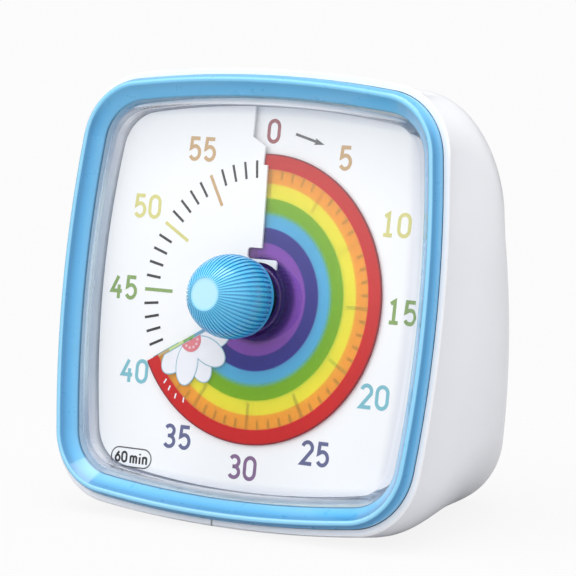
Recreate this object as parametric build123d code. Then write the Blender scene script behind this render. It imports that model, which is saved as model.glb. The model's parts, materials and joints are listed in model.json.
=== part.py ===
from build123d import *
import math
import os

os.makedirs("parts", exist_ok=True)

# A visual countdown timer. World axes: +X right, +Y back, +Z up, millimetres, origin on the base.
# The face leans back. In the dial frame "out" is the height off the dial's middle plane, towards the user,
# and clock angles count clockwise from 12, as the user sees them.

# Face and lip
FACE_WIDTH = 86.0
FACE_HEIGHT = 86.0
FACE_TILT = 9.65
FACE_BULGE = 3.2
FACE_CORNER_RADIUS = 14.2
LIP_OUT = 4.4
LIP_WIDTH = 1.2
LIP_LIFT = 0.55
LIP_CHAMFER = 0.3
DIAL_Y = -13.0
SINK = 0.1
PRY_NOTCH_X = -2.9
PRY_NOTCH_WIDTH = 0.4
PRY_NOTCH_DEPTH = 1.4

# Case behind the face. A taper is taken off each side, a drop off the top.
CASE_WALL = 2.2
BODY_DEPTH = 39.0
BASE_CUT = 1.2
REAR_BULGE = 2.8
SHOULDER_DEPTH = 7.0
SHOULDER_TAPER = 0.5
WAIST_DEPTH = 19.0
WAIST_LEAN = 5.0
WAIST_TAPER = 1.6
WAIST_DROP = 3.3
WAIST_CORNER_RADIUS = 21.0
HIP_DEPTH = 31.0
HIP_TAPER = 7.3
HIP_DROP = 11.9
HIP_CORNER_RADIUS = 16.5
BACK_TAPER = 11.0
BACK_DROP = 18.0
BACK_CORNER_RADIUS = 15.0
BACK_EDGE_RADIUS = 2.0

# Bezel: a ring that rises from the lens to a crest and falls steeply to the lip
BEZEL_GAP = 0.1
BEZEL_WIDTH = 4.0
BEZEL_INNER_OUT = 4.3
BEZEL_CREST_OUT = 7.7
BEZEL_CREST_INSET = 0.9
BEZEL_SHOULDER_OUT = 5.7
BEZEL_CREST_ROUND = 0.7
BEZEL_SKIRT = 1.9
BEZEL_SKIRT_WALL = 1.5
BEZEL_LEDGE = 1.8
BEZEL_LEDGE_OUT = 0.1

# Lens: a shallow clear pan with a flange under the bezel
LENS_GAP = 0.2
LENS_FRONT_OUT = 4.6
LENS_WALL = 1.0
LENS_EDGE_RADIUS = 1.4
LENS_FLANGE = 1.9
LENS_FLANGE_WALL = 1.6

# Film and dial plate: two thin helical sheets of one pitch, half a pitch apart
FILM_RADIUS = 27.4
FILM_THICKNESS = 0.25
FILM_PITCH = 1.2
FULL_HOUR_ANGLE = 360.0
SHOWN_ANGLE = 240.0
PLATE_THICKNESS = 0.4
PLATE_INSET = 0.3
PLATE_CORNER_RADIUS = 8.0
SHEET_STEP = 12.0
SLIT_OVERLAP = 9.0
PLATE_SEAM_ANGLE = 315.0
FINGER_ANGLE = 40.0
FILM_EDGE_GAP = 1.0
SEAT_END_GAP = 1.0
SLIT_EDGE_OUTER_X = -4.2
SLIT_EDGE_RIM_X = -1.2
SLIT_EDGE_MIDDLE_X = -0.3
SLIT_EDGE_HUB_X = 0.2
SLIT_JOG_TOP = 30.4
SLIT_JOG_HEIGHT = 1.6
SLIT_STEP_BELOW_RIM = 2.2
SLIT_NOTCH_TOP = 9.6
SLIT_NOTCH_DEPTH = 3.0
SLIT_FINGER_TOP = 7.5
SLIT_FINGER_LENGTH = 3.9
SLIT_ROUND = 0.7

# Hub of the film, knob and spindle
HUB_RADIUS = 6.3
HUB_FRONT_OUT = 1.9
HUB_BACK_OUT = -0.9
HUB_PLATE_GAP = 0.6
HUB_ROUND = 0.5
SPINDLE_RADIUS = 2.0
SPINDLE_FLAT = 1.5
SPINDLE_TIP_OUT = 13.5
SPINDLE_FLAT_OUT = -2.6
SPINDLE_SHOULDER_OUT = -15.6
SLIDE_GAP = 0.05
KNOB_BORE_GAP = 0.03
KNOB_STEM_RADIUS = 3.2
KNOB_STEM_OUT = 2.8
KNOB_LENS_GAP = 0.5
KNOB_BASE_OUT = 6.1
KNOB_RIM_RADIUS = 7.5
KNOB_RIM_HEIGHT = 0.8
KNOB_RADIUS = 7.9
KNOB_TOP_OUT = 17.9
KNOB_TOP_RADIUS = 3.1
KNOB_RIBS = 52
KNOB_RIB_HEIGHT = 0.35
KNOB_RIB_SHARE = 0.55
KNOB_BULGE_HEIGHT = 2.2
KNOB_CHEEK_OUT = 14.6
KNOB_CHEEK_SHARE = 0.8
KNOB_WALL = 1.6
KNOB_ROOF = 3.6

# Dial tray: carries the plate and the lens, and holds the recess that the film turns in
TRAY_GAP = 1.3
TRAY_FACE_OUT = -1.6
TRAY_FLOOR_OUT = -2.4
TRAY_BACK_OUT = -3.8
TRAY_RECESS_GAP = 1.4
TRAY_SCREW_X = 29.3
TRAY_SCREW_UP = 29.3
POST_RADIUS = 3.0
SCREW_RADIUS = 1.2
SCREW_GAP = 0.06
SCREW_HOLE_GAP = 0.2
SCREW_HEAD_RADIUS = 2.2
SCREW_HEAD_HEIGHT = 1.1
SCREW_HEAD_SEAT_OUT = -2.6
SCREW_LENGTH = 9.0
SCREW_SLOT = 0.5
SCREW_HEAD_ROUND = 0.4

# Movement, behind the tray
MOVEMENT_SIZE = 40.0
MOVEMENT_CORNER_RADIUS = 3.0
MOVEMENT_WALL = 1.2
MOVEMENT_SPLIT_OUT = -9.5
MOVEMENT_BACK_OUT = -17.8
LUG_X = 23.2
LUG_UP = 12.0
LUG_RADIUS = 2.6
LUG_OUT = -7.9
LUG_THICKNESS = 1.6
LUG_SCREW_LENGTH = 4.4
LUG_SCREW_RADIUS = 1.0
LUG_SCREW_HEAD_RADIUS = 1.9
BEARING_GAP = 0.05
BEARING_RADIUS = 3.2
PIVOT_RADIUS = 0.5
SPINDLE_PIVOT_RADIUS = 1.0
PIVOT_INTO_WALL = 0.6
END_SHAKE = 0.1

# Gear train. Tooth heights are in modules, tooth widths in shares of the pitch.
GEAR_DEDENDUM = 1.25
GEAR_ADDENDUM = 0.85
TOOTH_ROOT_SHARE = 0.25
TOOTH_TIP_SHARE = 0.10
WHEEL_MODULE = 0.4
OUTPUT_TEETH = 60
THIRD_PINION_TEETH = 10
ROTOR_MODULE = 0.3
THIRD_TEETH = 48
ROTOR_TEETH = 12
THIRD_ANGLE = 225.0
ROTOR_ANGLE = 330.0
OUTPUT_WHEEL_OUT = -15.0
OUTPUT_WHEEL_THICKNESS = 1.5
THIRD_WHEEL_OUT = -7.0
THIRD_WHEEL_THICKNESS = 1.0
PINION_MARGIN = 0.3
ARBOR_RADIUS = 0.6
SLEEVE_WALL = 0.6
MAGNET_RADIUS = 2.6
MAGNET_OUT = -12.0
MAGNET_THICKNESS = 3.2

# Clutch, cam and alarm contact
COLLAR_RADIUS = 3.0
COLLAR_OUT = -12.3
COLLAR_THICKNESS = 0.7
CLUTCH_RADIUS = 5.2
CLUTCH_THICKNESS = 0.3
CLUTCH_ARM = 1.0
CLUTCH_ARMS = 3
CAM_RADIUS = 4.4
CAM_OUT = -6.9
CAM_THICKNESS = 1.3
CAM_NOTCH = 1.0
LEAF_GAP = 0.35
LEAF_THICKNESS = 0.3
LEAF_WIDTH = 1.0
LEAF_END_X = 12.0
LEAF_FOOT = 2.4

# Motor
STATOR_OUT = -10.5
STATOR_THICKNESS = 1.0
STATOR_LEFT = -16.5
STATOR_RIGHT = 12.0
STATOR_TOP = -11.1
STATOR_LEG = 3.0
ROTOR_AIR_GAP = 0.4
COIL_UP = -6.0
COIL_RADIUS = 2.6
COIL_LENGTH = 15.0
COIL_X = -1.0
CORE_WIDTH = 2.2

# Battery, bay and door. The cell lies along X in the back of the case.
CELL_RADIUS = 7.1
CELL_LENGTH = 49.5
CELL_NUB_RADIUS = 2.6
CELL_NUB_LENGTH = 1.0
CELL_HEIGHT = 22.6
CELL_GAP = 0.4
BAY_LENGTH = 54.0
BAY_WALL = 1.2
CONTACT_THICKNESS = 0.4
CONTACT_SIZE = 9.0
CONTACT_GAP = 0.1
SPRING_WIRE_RADIUS = 0.3
SPRING_RADIUS = 3.0
SPRING_PITCH = 0.85
SPRING_SUNK = 0.1
CELL_ROUND = 0.8
DOOR_THICKNESS = 1.6
DOOR_REST = 0.8
DOOR_GAP = 0.3
DOOR_RIB_LENGTH = 40.0
DOOR_RIB_HEIGHT = 2.4
DOOR_RIB_WALL = 0.8
DOOR_GRIPS = 5
DOOR_GRIP_PITCH = 1.6
DOOR_GRIP_WIDTH = 0.7
DOOR_GRIP_LENGTH = 11.0
DOOR_GRIP_DEPTH = 0.4
DOOR_GRIP_X = 15.0

# Circuit board and volume switch on the back wall
BOARD_X = -15.0
BOARD_BELOW_TOP = 16.4
BOARD_WIDTH = 26.0
BOARD_TALL = 18.0
BOARD_THICKNESS = 1.2
BOARD_SCREW_X = 10.4
BOARD_ROUND = 1.0
STAND_RADIUS = 2.6
SWITCH_WIDTH = 12.4
SWITCH_TALL = 5.6
SWITCH_DEPTH = 3.6
SWITCH_WALL_GAP = 0.3
SLIDER_WIDTH = 4.0
SLIDER_TALL = 2.2
SLIDER_PROUD = 0.9
SLIDER_ROOT = 1.6
SLIDER_TRAVEL = 4.0
SLIDER_GAP = 0.3
SLIDER_RIDGES = 3
SLIDER_GROOVE = 0.4
CHIP_WIDTH = 6.0
CHIP_TALL = 5.0
CHIP_THICKNESS = 1.3
CHIP_LEGS = 4
CHIP_LEG_WIDTH = 0.5
CHIP_LEG_LENGTH = 0.9
CRYSTAL_RADIUS = 1.1
CRYSTAL_LENGTH = 6.5
CAPACITOR_RADIUS = 2.5
CAPACITOR_HEIGHT = 7.0
CHIP_UP = -4.5
CAN_UP = 4.5
CAN_ROUND = 0.35
CRYSTAL_X = -5.2
CAPACITOR_X = 5.2

# Buzzer behind the sound holes
BUZZER_X = 14.0
BUZZER_BELOW_TOP = 17.0
BUZZER_RADIUS = 9.0
BUZZER_WALL = 1.0
BUZZER_LEDGE = 1.0
BUZZER_DEPTH = 4.5
BUZZER_DISC_THICKNESS = 0.4
BUZZER_SEAT_GAP = 0.2
BUZZER_RING_WALL = 1.2
BUZZER_RING_DEPTH = 3.0
SOUND_HOLE_RADIUS = 0.8
SOUND_HOLE_PITCH = 3.0
SOUND_HOLE_RINGS = 2

# Derived places
TILT = math.radians(FACE_TILT)
FACE_TOP = FACE_HEIGHT / 2 * math.cos(TILT)
DIAL_HEIGHT = FACE_TOP - LIP_OUT * math.sin(TILT) + LIP_LIFT
DIAL = Plane(origin=(0, DIAL_Y, DIAL_HEIGHT), x_dir=(1, 0, 0), z_dir=(0, -math.cos(TILT), math.sin(TILT)))
BACK_Y = DIAL_Y + BODY_DEPTH
BACK_WALL_Y = BACK_Y - CASE_WALL
BACK_TOP = DIAL_HEIGHT + FACE_TOP - BACK_DROP
BOARD_HEIGHT = BACK_TOP - BOARD_BELOW_TOP
BUZZER_HEIGHT = BACK_TOP - BUZZER_BELOW_TOP
BEZEL_INSET = LIP_WIDTH + BEZEL_GAP
LENS_INSET = BEZEL_INSET + BEZEL_WIDTH + LENS_GAP
LENS_FLANGE_INSET = LENS_INSET - LENS_FLANGE
LENS_BACK_OUT = TRAY_FACE_OUT
TRAY_INSET = CASE_WALL + TRAY_GAP
RECESS_RADIUS = FILM_RADIUS + TRAY_RECESS_GAP
PLATE_OUTLINE_INSET = LENS_INSET + LENS_WALL + PLATE_INSET
PLATE_HOLE_RADIUS = HUB_RADIUS + HUB_PLATE_GAP
TRAY_SCREW_PLACES = [(x, up) for x in (-TRAY_SCREW_X, TRAY_SCREW_X) for up in (-TRAY_SCREW_UP, TRAY_SCREW_UP)]
LUG_PLACES = [(x, up) for x in (-LUG_X, LUG_X) for up in (-LUG_UP, LUG_UP)]
THIRD_DISTANCE = WHEEL_MODULE * (OUTPUT_TEETH + THIRD_PINION_TEETH) / 2
ROTOR_DISTANCE = ROTOR_MODULE * (THIRD_TEETH + ROTOR_TEETH) / 2
THIRD_X = THIRD_DISTANCE * math.cos(math.radians(THIRD_ANGLE))
THIRD_UP = THIRD_DISTANCE * math.sin(math.radians(THIRD_ANGLE))
ROTOR_X = THIRD_X + ROTOR_DISTANCE * math.cos(math.radians(ROTOR_ANGLE))
ROTOR_UP = THIRD_UP + ROTOR_DISTANCE * math.sin(math.radians(ROTOR_ANGLE))
CELL_Y = BACK_Y - DOOR_THICKNESS - CELL_GAP - CELL_RADIUS
BAY_HALF_TALL = CELL_RADIUS + CELL_GAP
CELL_END_X = BAY_LENGTH / 2 - CONTACT_THICKNESS - CONTACT_GAP
BOARD_BACK_Y = BACK_WALL_Y - SWITCH_WALL_GAP - SWITCH_DEPTH
BOARD_FRONT_Y = BOARD_BACK_Y - BOARD_THICKNESS
BOARD_SCREW_PLACES = (BOARD_X - BOARD_SCREW_X, BOARD_X + BOARD_SCREW_X)
SLOT_HALF_WIDTH = (SLIDER_WIDTH + SLIDER_TRAVEL) / 2 + SLIDER_GAP


# Shared shapes


def bulged_rectangle(width, height, bulge, corner_radius):
    """A rectangle with four sides bowed outwards and round corners."""
    x_mid, y_mid = width / 2, height / 2
    x_end, y_end = x_mid - bulge, y_mid - bulge
    sides = [
        ThreePointArc((x_end, -y_end), (x_mid, 0), (x_end, y_end)),
        ThreePointArc((x_end, y_end), (0, y_mid), (-x_end, y_end)),
        ThreePointArc((-x_end, y_end), (-x_mid, 0), (-x_end, -y_end)),
        ThreePointArc((-x_end, -y_end), (0, -y_mid), (x_end, -y_end)),
    ]
    face = make_face(sides)
    return fillet(face.vertices(), corner_radius)


def face_outline(inset=0.0, corner_radius=None):
    """The outline of the face, moved inwards by inset."""
    radius = FACE_CORNER_RADIUS - inset if corner_radius is None else corner_radius
    return bulged_rectangle(FACE_WIDTH - 2 * inset, FACE_HEIGHT - 2 * inset, FACE_BULGE, radius)


def slab(outline, low, high):
    """An outline of the dial frame, solid from one height off the dial to another."""
    return extrude(Pos(0, 0, low) * outline, high - low)


def rod(radius, low, high, x=0.0, up=0.0):
    """A round rod that stands on the dial plane, from one height off the dial to another."""
    return Pos(x, up, low) * Cylinder(radius, high - low, align=(Align.CENTER, Align.CENTER, Align.MIN))


def tube(outer, inner, low, high, x=0.0, up=0.0):
    """A round tube that stands on the dial plane."""
    return rod(outer, low, high, x, up) - rod(inner, low - 1, high + 1, x, up)


def block(x_low, x_high, y_low, y_high, z_low, z_high):
    """A box between two corners."""
    size = (x_high - x_low, y_high - y_low, z_high - z_low)
    return Pos(x_low, y_low, z_low) * Box(*size, align=(Align.MIN, Align.MIN, Align.MIN))


def rear_rod(radius, y_low, y_high, x, height):
    """A round rod along Y in the world frame."""
    return Pos(x, y_low, height) * Rot(-90, 0, 0) * rod(radius, 0, y_high - y_low)


def sheet_height(angle):
    """How far off the dial the middle of the film lies at a clock angle."""
    return FILM_PITCH * angle / 360


def helical_sheet(inner, outer, start, end, bottom, top):
    """A sheet between two clock angles; bottom and top give its two heights off the dial at an angle."""
    steps = math.ceil((end - start) / SHEET_STEP)
    sections = []
    for step in range(steps + 1):
        angle = start + (end - start) * step / steps
        turn = math.radians(90 - angle)
        radial = Plane(
            origin=(0, 0, 0),
            x_dir=(math.cos(turn), math.sin(turn), 0),
            z_dir=(math.sin(turn), -math.cos(turn), 0),
        )
        low, high = bottom(angle), top(angle)
        corners = [(inner, low), (outer, low), (outer, high), (inner, high)]
        sections.append(radial * make_face(Polyline(*corners, close=True)))
    return loft([section.face() for section in sections], ruled=True)


def d_bore(gap, low, high):
    """The space of the spindle's D-shaped front end, with a gap round it."""
    round_part = rod(SPINDLE_RADIUS + gap, low, high)
    beside = 2 * SPINDLE_RADIUS
    return round_part & block(-beside, SPINDLE_FLAT + gap, -beside, beside, low, high)


def gear(teeth, module, low, high, tooth_angle):
    """A spur gear on the dial axis with one tooth pointing at tooth_angle (counter-clockwise from +X)."""
    root = module * (teeth / 2 - GEAR_DEDENDUM)
    tip = module * (teeth / 2 + GEAR_ADDENDUM)
    corners = (
        (root, -TOOTH_ROOT_SHARE),
        (tip, -TOOTH_TIP_SHARE),
        (tip, TOOTH_TIP_SHARE),
        (root, TOOTH_ROOT_SHARE),
    )
    pitch = 360 / teeth
    points = []
    for tooth in range(teeth):
        middle = tooth_angle + tooth * pitch
        for radius, share in corners:
            turn = math.radians(middle + share * pitch)
            points.append((radius * math.cos(turn), radius * math.sin(turn)))
    return slab(make_face(Polyline(*points, close=True)), low, high)


def screw(radius, head_radius, head_height, length):
    """A slotted pan screw, its head seated at height 0 and its shank below."""
    head = Pos(0, 0, head_height / 2) * Cylinder(head_radius, head_height)
    head = fillet(head.edges().group_by(Axis.Z)[-1], SCREW_HEAD_ROUND)
    shank = Pos(0, 0, -length / 2) * Cylinder(radius, length)
    slot = Pos(0, 0, head_height) * Box(3 * head_radius, SCREW_SLOT, head_height)
    return head + shank - slot


# Case


def station(depth, lean, taper, drop, corner_radius, inset):
    """One cross-section of the case behind the face, from just under the base to its own top."""
    top = FACE_TOP - drop - inset
    bottom = -DIAL_HEIGHT - BASE_CUT + inset
    width = FACE_WIDTH - 2 * (taper + inset)
    outline = bulged_rectangle(width, top - bottom, REAR_BULGE, corner_radius - inset)
    slope = math.radians(lean)
    place = Plane(
        origin=(0, DIAL_Y + depth, DIAL_HEIGHT),
        x_dir=(1, 0, 0),
        z_dir=(0, -math.cos(slope), math.sin(slope)),
    )
    return place * Pos(0, (top + bottom) / 2) * outline


def case_body(inset=0.0):
    """The smooth body of the case as a closed form, moved inwards by inset, standing on a flat base."""
    sections = [
        DIAL * Pos(0, 0, LIP_OUT) * face_outline(inset),
        DIAL * Pos(0, 0, -SHOULDER_DEPTH) * face_outline(inset + SHOULDER_TAPER),
        station(WAIST_DEPTH, WAIST_LEAN, WAIST_TAPER, WAIST_DROP, WAIST_CORNER_RADIUS, inset),
        station(HIP_DEPTH, 0, HIP_TAPER, HIP_DROP, HIP_CORNER_RADIUS, inset),
        station(BODY_DEPTH - inset, 0, BACK_TAPER, BACK_DROP, BACK_CORNER_RADIUS, inset),
    ]
    body = loft([section.face() for section in sections])
    above = FACE_WIDTH * 2
    return body & block(-above, above, -above, above, inset, above)


def bay_box(margin, front, back):
    """The battery bay as a box between two depths, grown by margin along X and Z."""
    half_length, half_tall = BAY_LENGTH / 2 + margin, BAY_HALF_TALL + margin
    return block(-half_length, half_length, front, back, CELL_HEIGHT - half_tall, CELL_HEIGHT + half_tall)


def sound_holes():
    """Round holes in a centre, a ring of six and a ring of twelve."""
    holes = [rear_rod(SOUND_HOLE_RADIUS, BACK_WALL_Y - 1, BACK_Y + 1, BUZZER_X, BUZZER_HEIGHT)]
    for ring in range(1, SOUND_HOLE_RINGS + 1):
        for hole in range(6 * ring):
            turn = math.radians(60 * hole / ring)
            x = BUZZER_X + ring * SOUND_HOLE_PITCH * math.cos(turn)
            height = BUZZER_HEIGHT + ring * SOUND_HOLE_PITCH * math.sin(turn)
            holes.append(rear_rod(SOUND_HOLE_RADIUS, BACK_WALL_Y - 1, BACK_Y + 1, x, height))
    return holes


def rear_case():
    body = case_body()
    back_face = body.faces().sort_by(Axis.Y)[-1]
    body = fillet(back_face.edges(), BACK_EDGE_RADIUS)
    lip_face = body.faces().sort_by(Axis(DIAL.origin, DIAL.z_dir))[-1]
    body = chamfer(lip_face.edges(), LIP_CHAMFER)
    hollow = case_body(CASE_WALL)
    posts = [DIAL * rod(POST_RADIUS, -2 * BODY_DEPTH, TRAY_BACK_OUT, x, up) for x, up in TRAY_SCREW_PLACES]
    bay_front = CELL_Y - BAY_HALF_TALL
    bay = bay_box(BAY_WALL, bay_front - BAY_WALL, BACK_Y)
    ring_front = BACK_WALL_Y - BUZZER_RING_DEPTH
    ring_inner = BUZZER_RADIUS + BUZZER_SEAT_GAP
    ring = rear_rod(ring_inner + BUZZER_RING_WALL, ring_front, BACK_Y, BUZZER_X, BUZZER_HEIGHT)
    ring -= rear_rod(ring_inner, ring_front - 1, BACK_Y + 1, BUZZER_X, BUZZER_HEIGHT)
    stands = [rear_rod(STAND_RADIUS, BOARD_BACK_Y, BACK_Y, x, BOARD_HEIGHT) for x in BOARD_SCREW_PLACES]
    hollow = hollow - posts - bay - ring - stands
    shell = body - hollow
    mouth = DIAL * slab(face_outline(LIP_WIDTH), -BEZEL_SKIRT - BEZEL_GAP, LIP_OUT + 1)
    pilots = [
        DIAL * rod(SCREW_RADIUS + SCREW_GAP, TRAY_BACK_OUT - SCREW_LENGTH, TRAY_BACK_OUT + 1, x, up)
        for x, up in TRAY_SCREW_PLACES
    ]
    bay_space = bay_box(0, bay_front, BACK_Y + 1)
    door_seat = bay_box(DOOR_REST, BACK_Y - DOOR_THICKNESS, BACK_Y + 1)
    slot_half_tall = SLIDER_TALL / 2 + SLIDER_GAP
    slider_slot = block(
        BOARD_X - SLOT_HALF_WIDTH,
        BOARD_X + SLOT_HALF_WIDTH,
        BACK_WALL_Y - 1,
        BACK_Y + 1,
        BOARD_HEIGHT - slot_half_tall,
        BOARD_HEIGHT + slot_half_tall,
    )
    pilot_end = BOARD_BACK_Y + LUG_SCREW_LENGTH
    pilot_radius = LUG_SCREW_RADIUS + SCREW_GAP
    stand_pilots = [
        rear_rod(pilot_radius, BOARD_BACK_Y - 1, pilot_end, x, BOARD_HEIGHT) for x in BOARD_SCREW_PLACES
    ]
    notch_low = -FACE_HEIGHT / 2 - 1
    notch = DIAL * block(
        PRY_NOTCH_X - PRY_NOTCH_WIDTH / 2,
        PRY_NOTCH_X + PRY_NOTCH_WIDTH / 2,
        notch_low,
        notch_low + LIP_WIDTH + 2,
        LIP_OUT - PRY_NOTCH_DEPTH,
        LIP_OUT + 1,
    )
    shell = shell - mouth - notch - pilots - bay_space - door_seat
    return shell - slider_slot - stand_pilots - sound_holes()


# Front


def bezel():
    """A ring swept round the face: inner slope, rounded crest, steep outer side and a skirt in the case."""
    path = face_outline(BEZEL_INSET).face().outer_wire()
    section_plane = Plane(origin=path @ 0, x_dir=(0, 0, 1), z_dir=path % 0)
    outline = [
        (BEZEL_INNER_OUT, -BEZEL_WIDTH),
        (BEZEL_CREST_OUT, -BEZEL_CREST_INSET),
        (BEZEL_SHOULDER_OUT, 0),
        (-BEZEL_SKIRT, 0),
        (-BEZEL_SKIRT, -BEZEL_SKIRT_WALL),
        (BEZEL_LEDGE_OUT + BEZEL_LEDGE, -BEZEL_SKIRT_WALL),
        (BEZEL_LEDGE_OUT, BEZEL_LEDGE - BEZEL_WIDTH),
        (BEZEL_LEDGE_OUT, -BEZEL_WIDTH),
    ]
    section = make_face(Polyline(*outline, close=True))
    section = fillet(section.vertices().sort_by(Axis.X)[-1], BEZEL_CREST_ROUND)
    ring = sweep(section_plane * section, path=path)
    return DIAL * ring


def lens():
    """A clear pan: flat front, rounded edge, side wall down to the tray and a flange under the bezel."""
    outer = slab(face_outline(LENS_INSET), LENS_BACK_OUT, LENS_FRONT_OUT)
    outer = fillet(outer.edges().group_by(Axis.Z)[-1], LENS_EDGE_RADIUS)
    inner = slab(face_outline(LENS_INSET + LENS_WALL), LENS_BACK_OUT, LENS_FRONT_OUT - LENS_WALL)
    inner = fillet(inner.edges().group_by(Axis.Z)[-1], LENS_EDGE_RADIUS - LENS_WALL)
    flange = slab(face_outline(LENS_FLANGE_INSET), LENS_BACK_OUT, LENS_BACK_OUT + LENS_FLANGE_WALL)
    hole = rod(KNOB_STEM_RADIUS + KNOB_LENS_GAP, LENS_BACK_OUT, LENS_FRONT_OUT + 1)
    return DIAL * (outer + flange - inner - hole)


def plate_middle(angle):
    """Height off the dial of the plate's middle: half a pitch behind the film at the slit's right side."""
    return sheet_height(angle) - FILM_PITCH / 2


def plate_sheet(start, end):
    """A stretch of the dial plate between two clock angles, before it is trimmed."""
    return helical_sheet(
        HUB_RADIUS,
        FACE_WIDTH,
        start,
        end,
        lambda angle: plate_middle(angle) - PLATE_THICKNESS / 2,
        lambda angle: plate_middle(angle) + PLATE_THICKNESS / 2,
    )


def slit_edge_cut():
    """The space right of the shaped edge of the plate's upper side: jog, rim step, notch and finger."""
    reach = FACE_WIDTH
    step_top = FILM_RADIUS - SLIT_STEP_BELOW_RIM
    edge = [
        (SLIT_EDGE_OUTER_X, reach),
        (SLIT_EDGE_OUTER_X, SLIT_JOG_TOP),
        (SLIT_EDGE_RIM_X, SLIT_JOG_TOP - SLIT_JOG_HEIGHT),
        (SLIT_EDGE_RIM_X, step_top),
        (SLIT_EDGE_MIDDLE_X, step_top),
        (SLIT_EDGE_HUB_X, SLIT_NOTCH_TOP),
        (-SLIT_NOTCH_DEPTH, SLIT_NOTCH_TOP),
        (-SLIT_NOTCH_DEPTH, SLIT_FINGER_TOP),
        (SLIT_FINGER_LENGTH, SLIT_FINGER_TOP),
        (SLIT_FINGER_LENGTH, 0),
        (reach, 0),
        (reach, reach),
    ]
    outline = make_face(Polyline(*edge, close=True))
    ends = (-SLIT_NOTCH_DEPTH, SLIT_FINGER_LENGTH)
    rounded = [v for v in outline.vertices() if v.Y > 0 and min(abs(v.X - end) for end in ends) < SINK]
    outline = fillet(rounded, SLIT_ROUND)
    return slab(outline, -2 * FILM_PITCH, 2 * FILM_PITCH)


def dial_plate():
    """A thin white card, cut from hub to rim at 12, its left side standing a pitch higher than its right."""
    lower = plate_sheet(-SLIT_OVERLAP, PLATE_SEAM_ANGLE)
    upper = plate_sheet(PLATE_SEAM_ANGLE, FULL_HOUR_ANGLE + FINGER_ANGLE)
    card = lower + (upper - slit_edge_cut())
    outline = slab(face_outline(PLATE_OUTLINE_INSET, PLATE_CORNER_RADIUS), -2 * FILM_PITCH, 2 * FILM_PITCH)
    hole = rod(PLATE_HOLE_RADIUS, -2 * FILM_PITCH, 2 * FILM_PITCH)
    return DIAL * ((card & outline) - hole)


def rainbow_disc():
    """A thin printed film with one radial cut; its leading edge stands at the time that is left."""
    half = FILM_THICKNESS / 2
    film = helical_sheet(
        HUB_RADIUS / 2,
        2 * FILM_RADIUS,
        SHOWN_ANGLE - FULL_HOUR_ANGLE + FILM_EDGE_GAP,
        SHOWN_ANGLE,
        lambda angle: sheet_height(angle) - half,
        lambda angle: sheet_height(angle) + half,
    )
    ring = tube(FILM_RADIUS, HUB_RADIUS, -2 * FILM_PITCH, 2 * FILM_PITCH)
    return DIAL * (film & ring)


def disc_hub():
    """The black hub that holds the film and slides along the flat of the spindle."""
    body = rod(HUB_RADIUS, HUB_BACK_OUT, HUB_FRONT_OUT)
    body = fillet(body.edges().group_by(Axis.Z)[-1], HUB_ROUND)
    return DIAL * (body - d_bore(SLIDE_GAP, HUB_BACK_OUT - 1, HUB_FRONT_OUT + 1))


def knob():
    """A hollow domed knob: base rim, ribs that fan out from a flat top, and a stem through the lens."""

    def dome(shrink, low):
        """The dome turned about the dial axis, its side and its round drawn in by shrink."""
        side, top = KNOB_RADIUS - shrink, KNOB_TOP_OUT - shrink / 2
        profile = Polyline((KNOB_TOP_RADIUS, top), (0, top), (0, low), (KNOB_RIM_RADIUS - shrink, low))
        flank = Spline(
            (KNOB_RIM_RADIUS - shrink, low),
            (side, low + KNOB_BULGE_HEIGHT),
            (side * KNOB_CHEEK_SHARE, KNOB_CHEEK_OUT),
            (KNOB_TOP_RADIUS, top),
        )
        return revolve(Plane.XZ * make_face([*profile.edges(), flank]), Axis.Z)

    rim_top = KNOB_BASE_OUT + KNOB_RIM_HEIGHT
    rim = rod(KNOB_RIM_RADIUS, KNOB_BASE_OUT, rim_top)
    ribs = []
    for rib in range(KNOB_RIBS):
        turn = 360 / KNOB_RIBS
        half_angle = math.radians(turn * KNOB_RIB_SHARE / 2)
        length = 2 * KNOB_RADIUS
        wedge = make_face(
            Polyline(
                (0, 0),
                (length, length * math.tan(half_angle)),
                (length, -length * math.tan(half_angle)),
                close=True,
            )
        )
        ribs.append(Rot(0, 0, rib * turn) * slab(wedge, rim_top, KNOB_TOP_OUT + 1))
    core = rod(KNOB_TOP_RADIUS, rim_top - 1, KNOB_TOP_OUT + 2)
    fans = Compound(children=[rib - core for rib in ribs])
    dome_low = rim_top - KNOB_RIM_HEIGHT / 2
    body = dome(KNOB_RIB_HEIGHT, dome_low) + (dome(0, dome_low) & fans) + rim
    room = tube(KNOB_RIM_RADIUS - KNOB_WALL, KNOB_STEM_RADIUS, KNOB_BASE_OUT - 1, KNOB_TOP_OUT - KNOB_ROOF)
    stem = rod(KNOB_STEM_RADIUS, KNOB_STEM_OUT, KNOB_BASE_OUT + 1)
    body = body - room + stem - d_bore(KNOB_BORE_GAP, KNOB_STEM_OUT - 1, SPINDLE_TIP_OUT + KNOB_BORE_GAP)
    return DIAL * body


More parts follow.
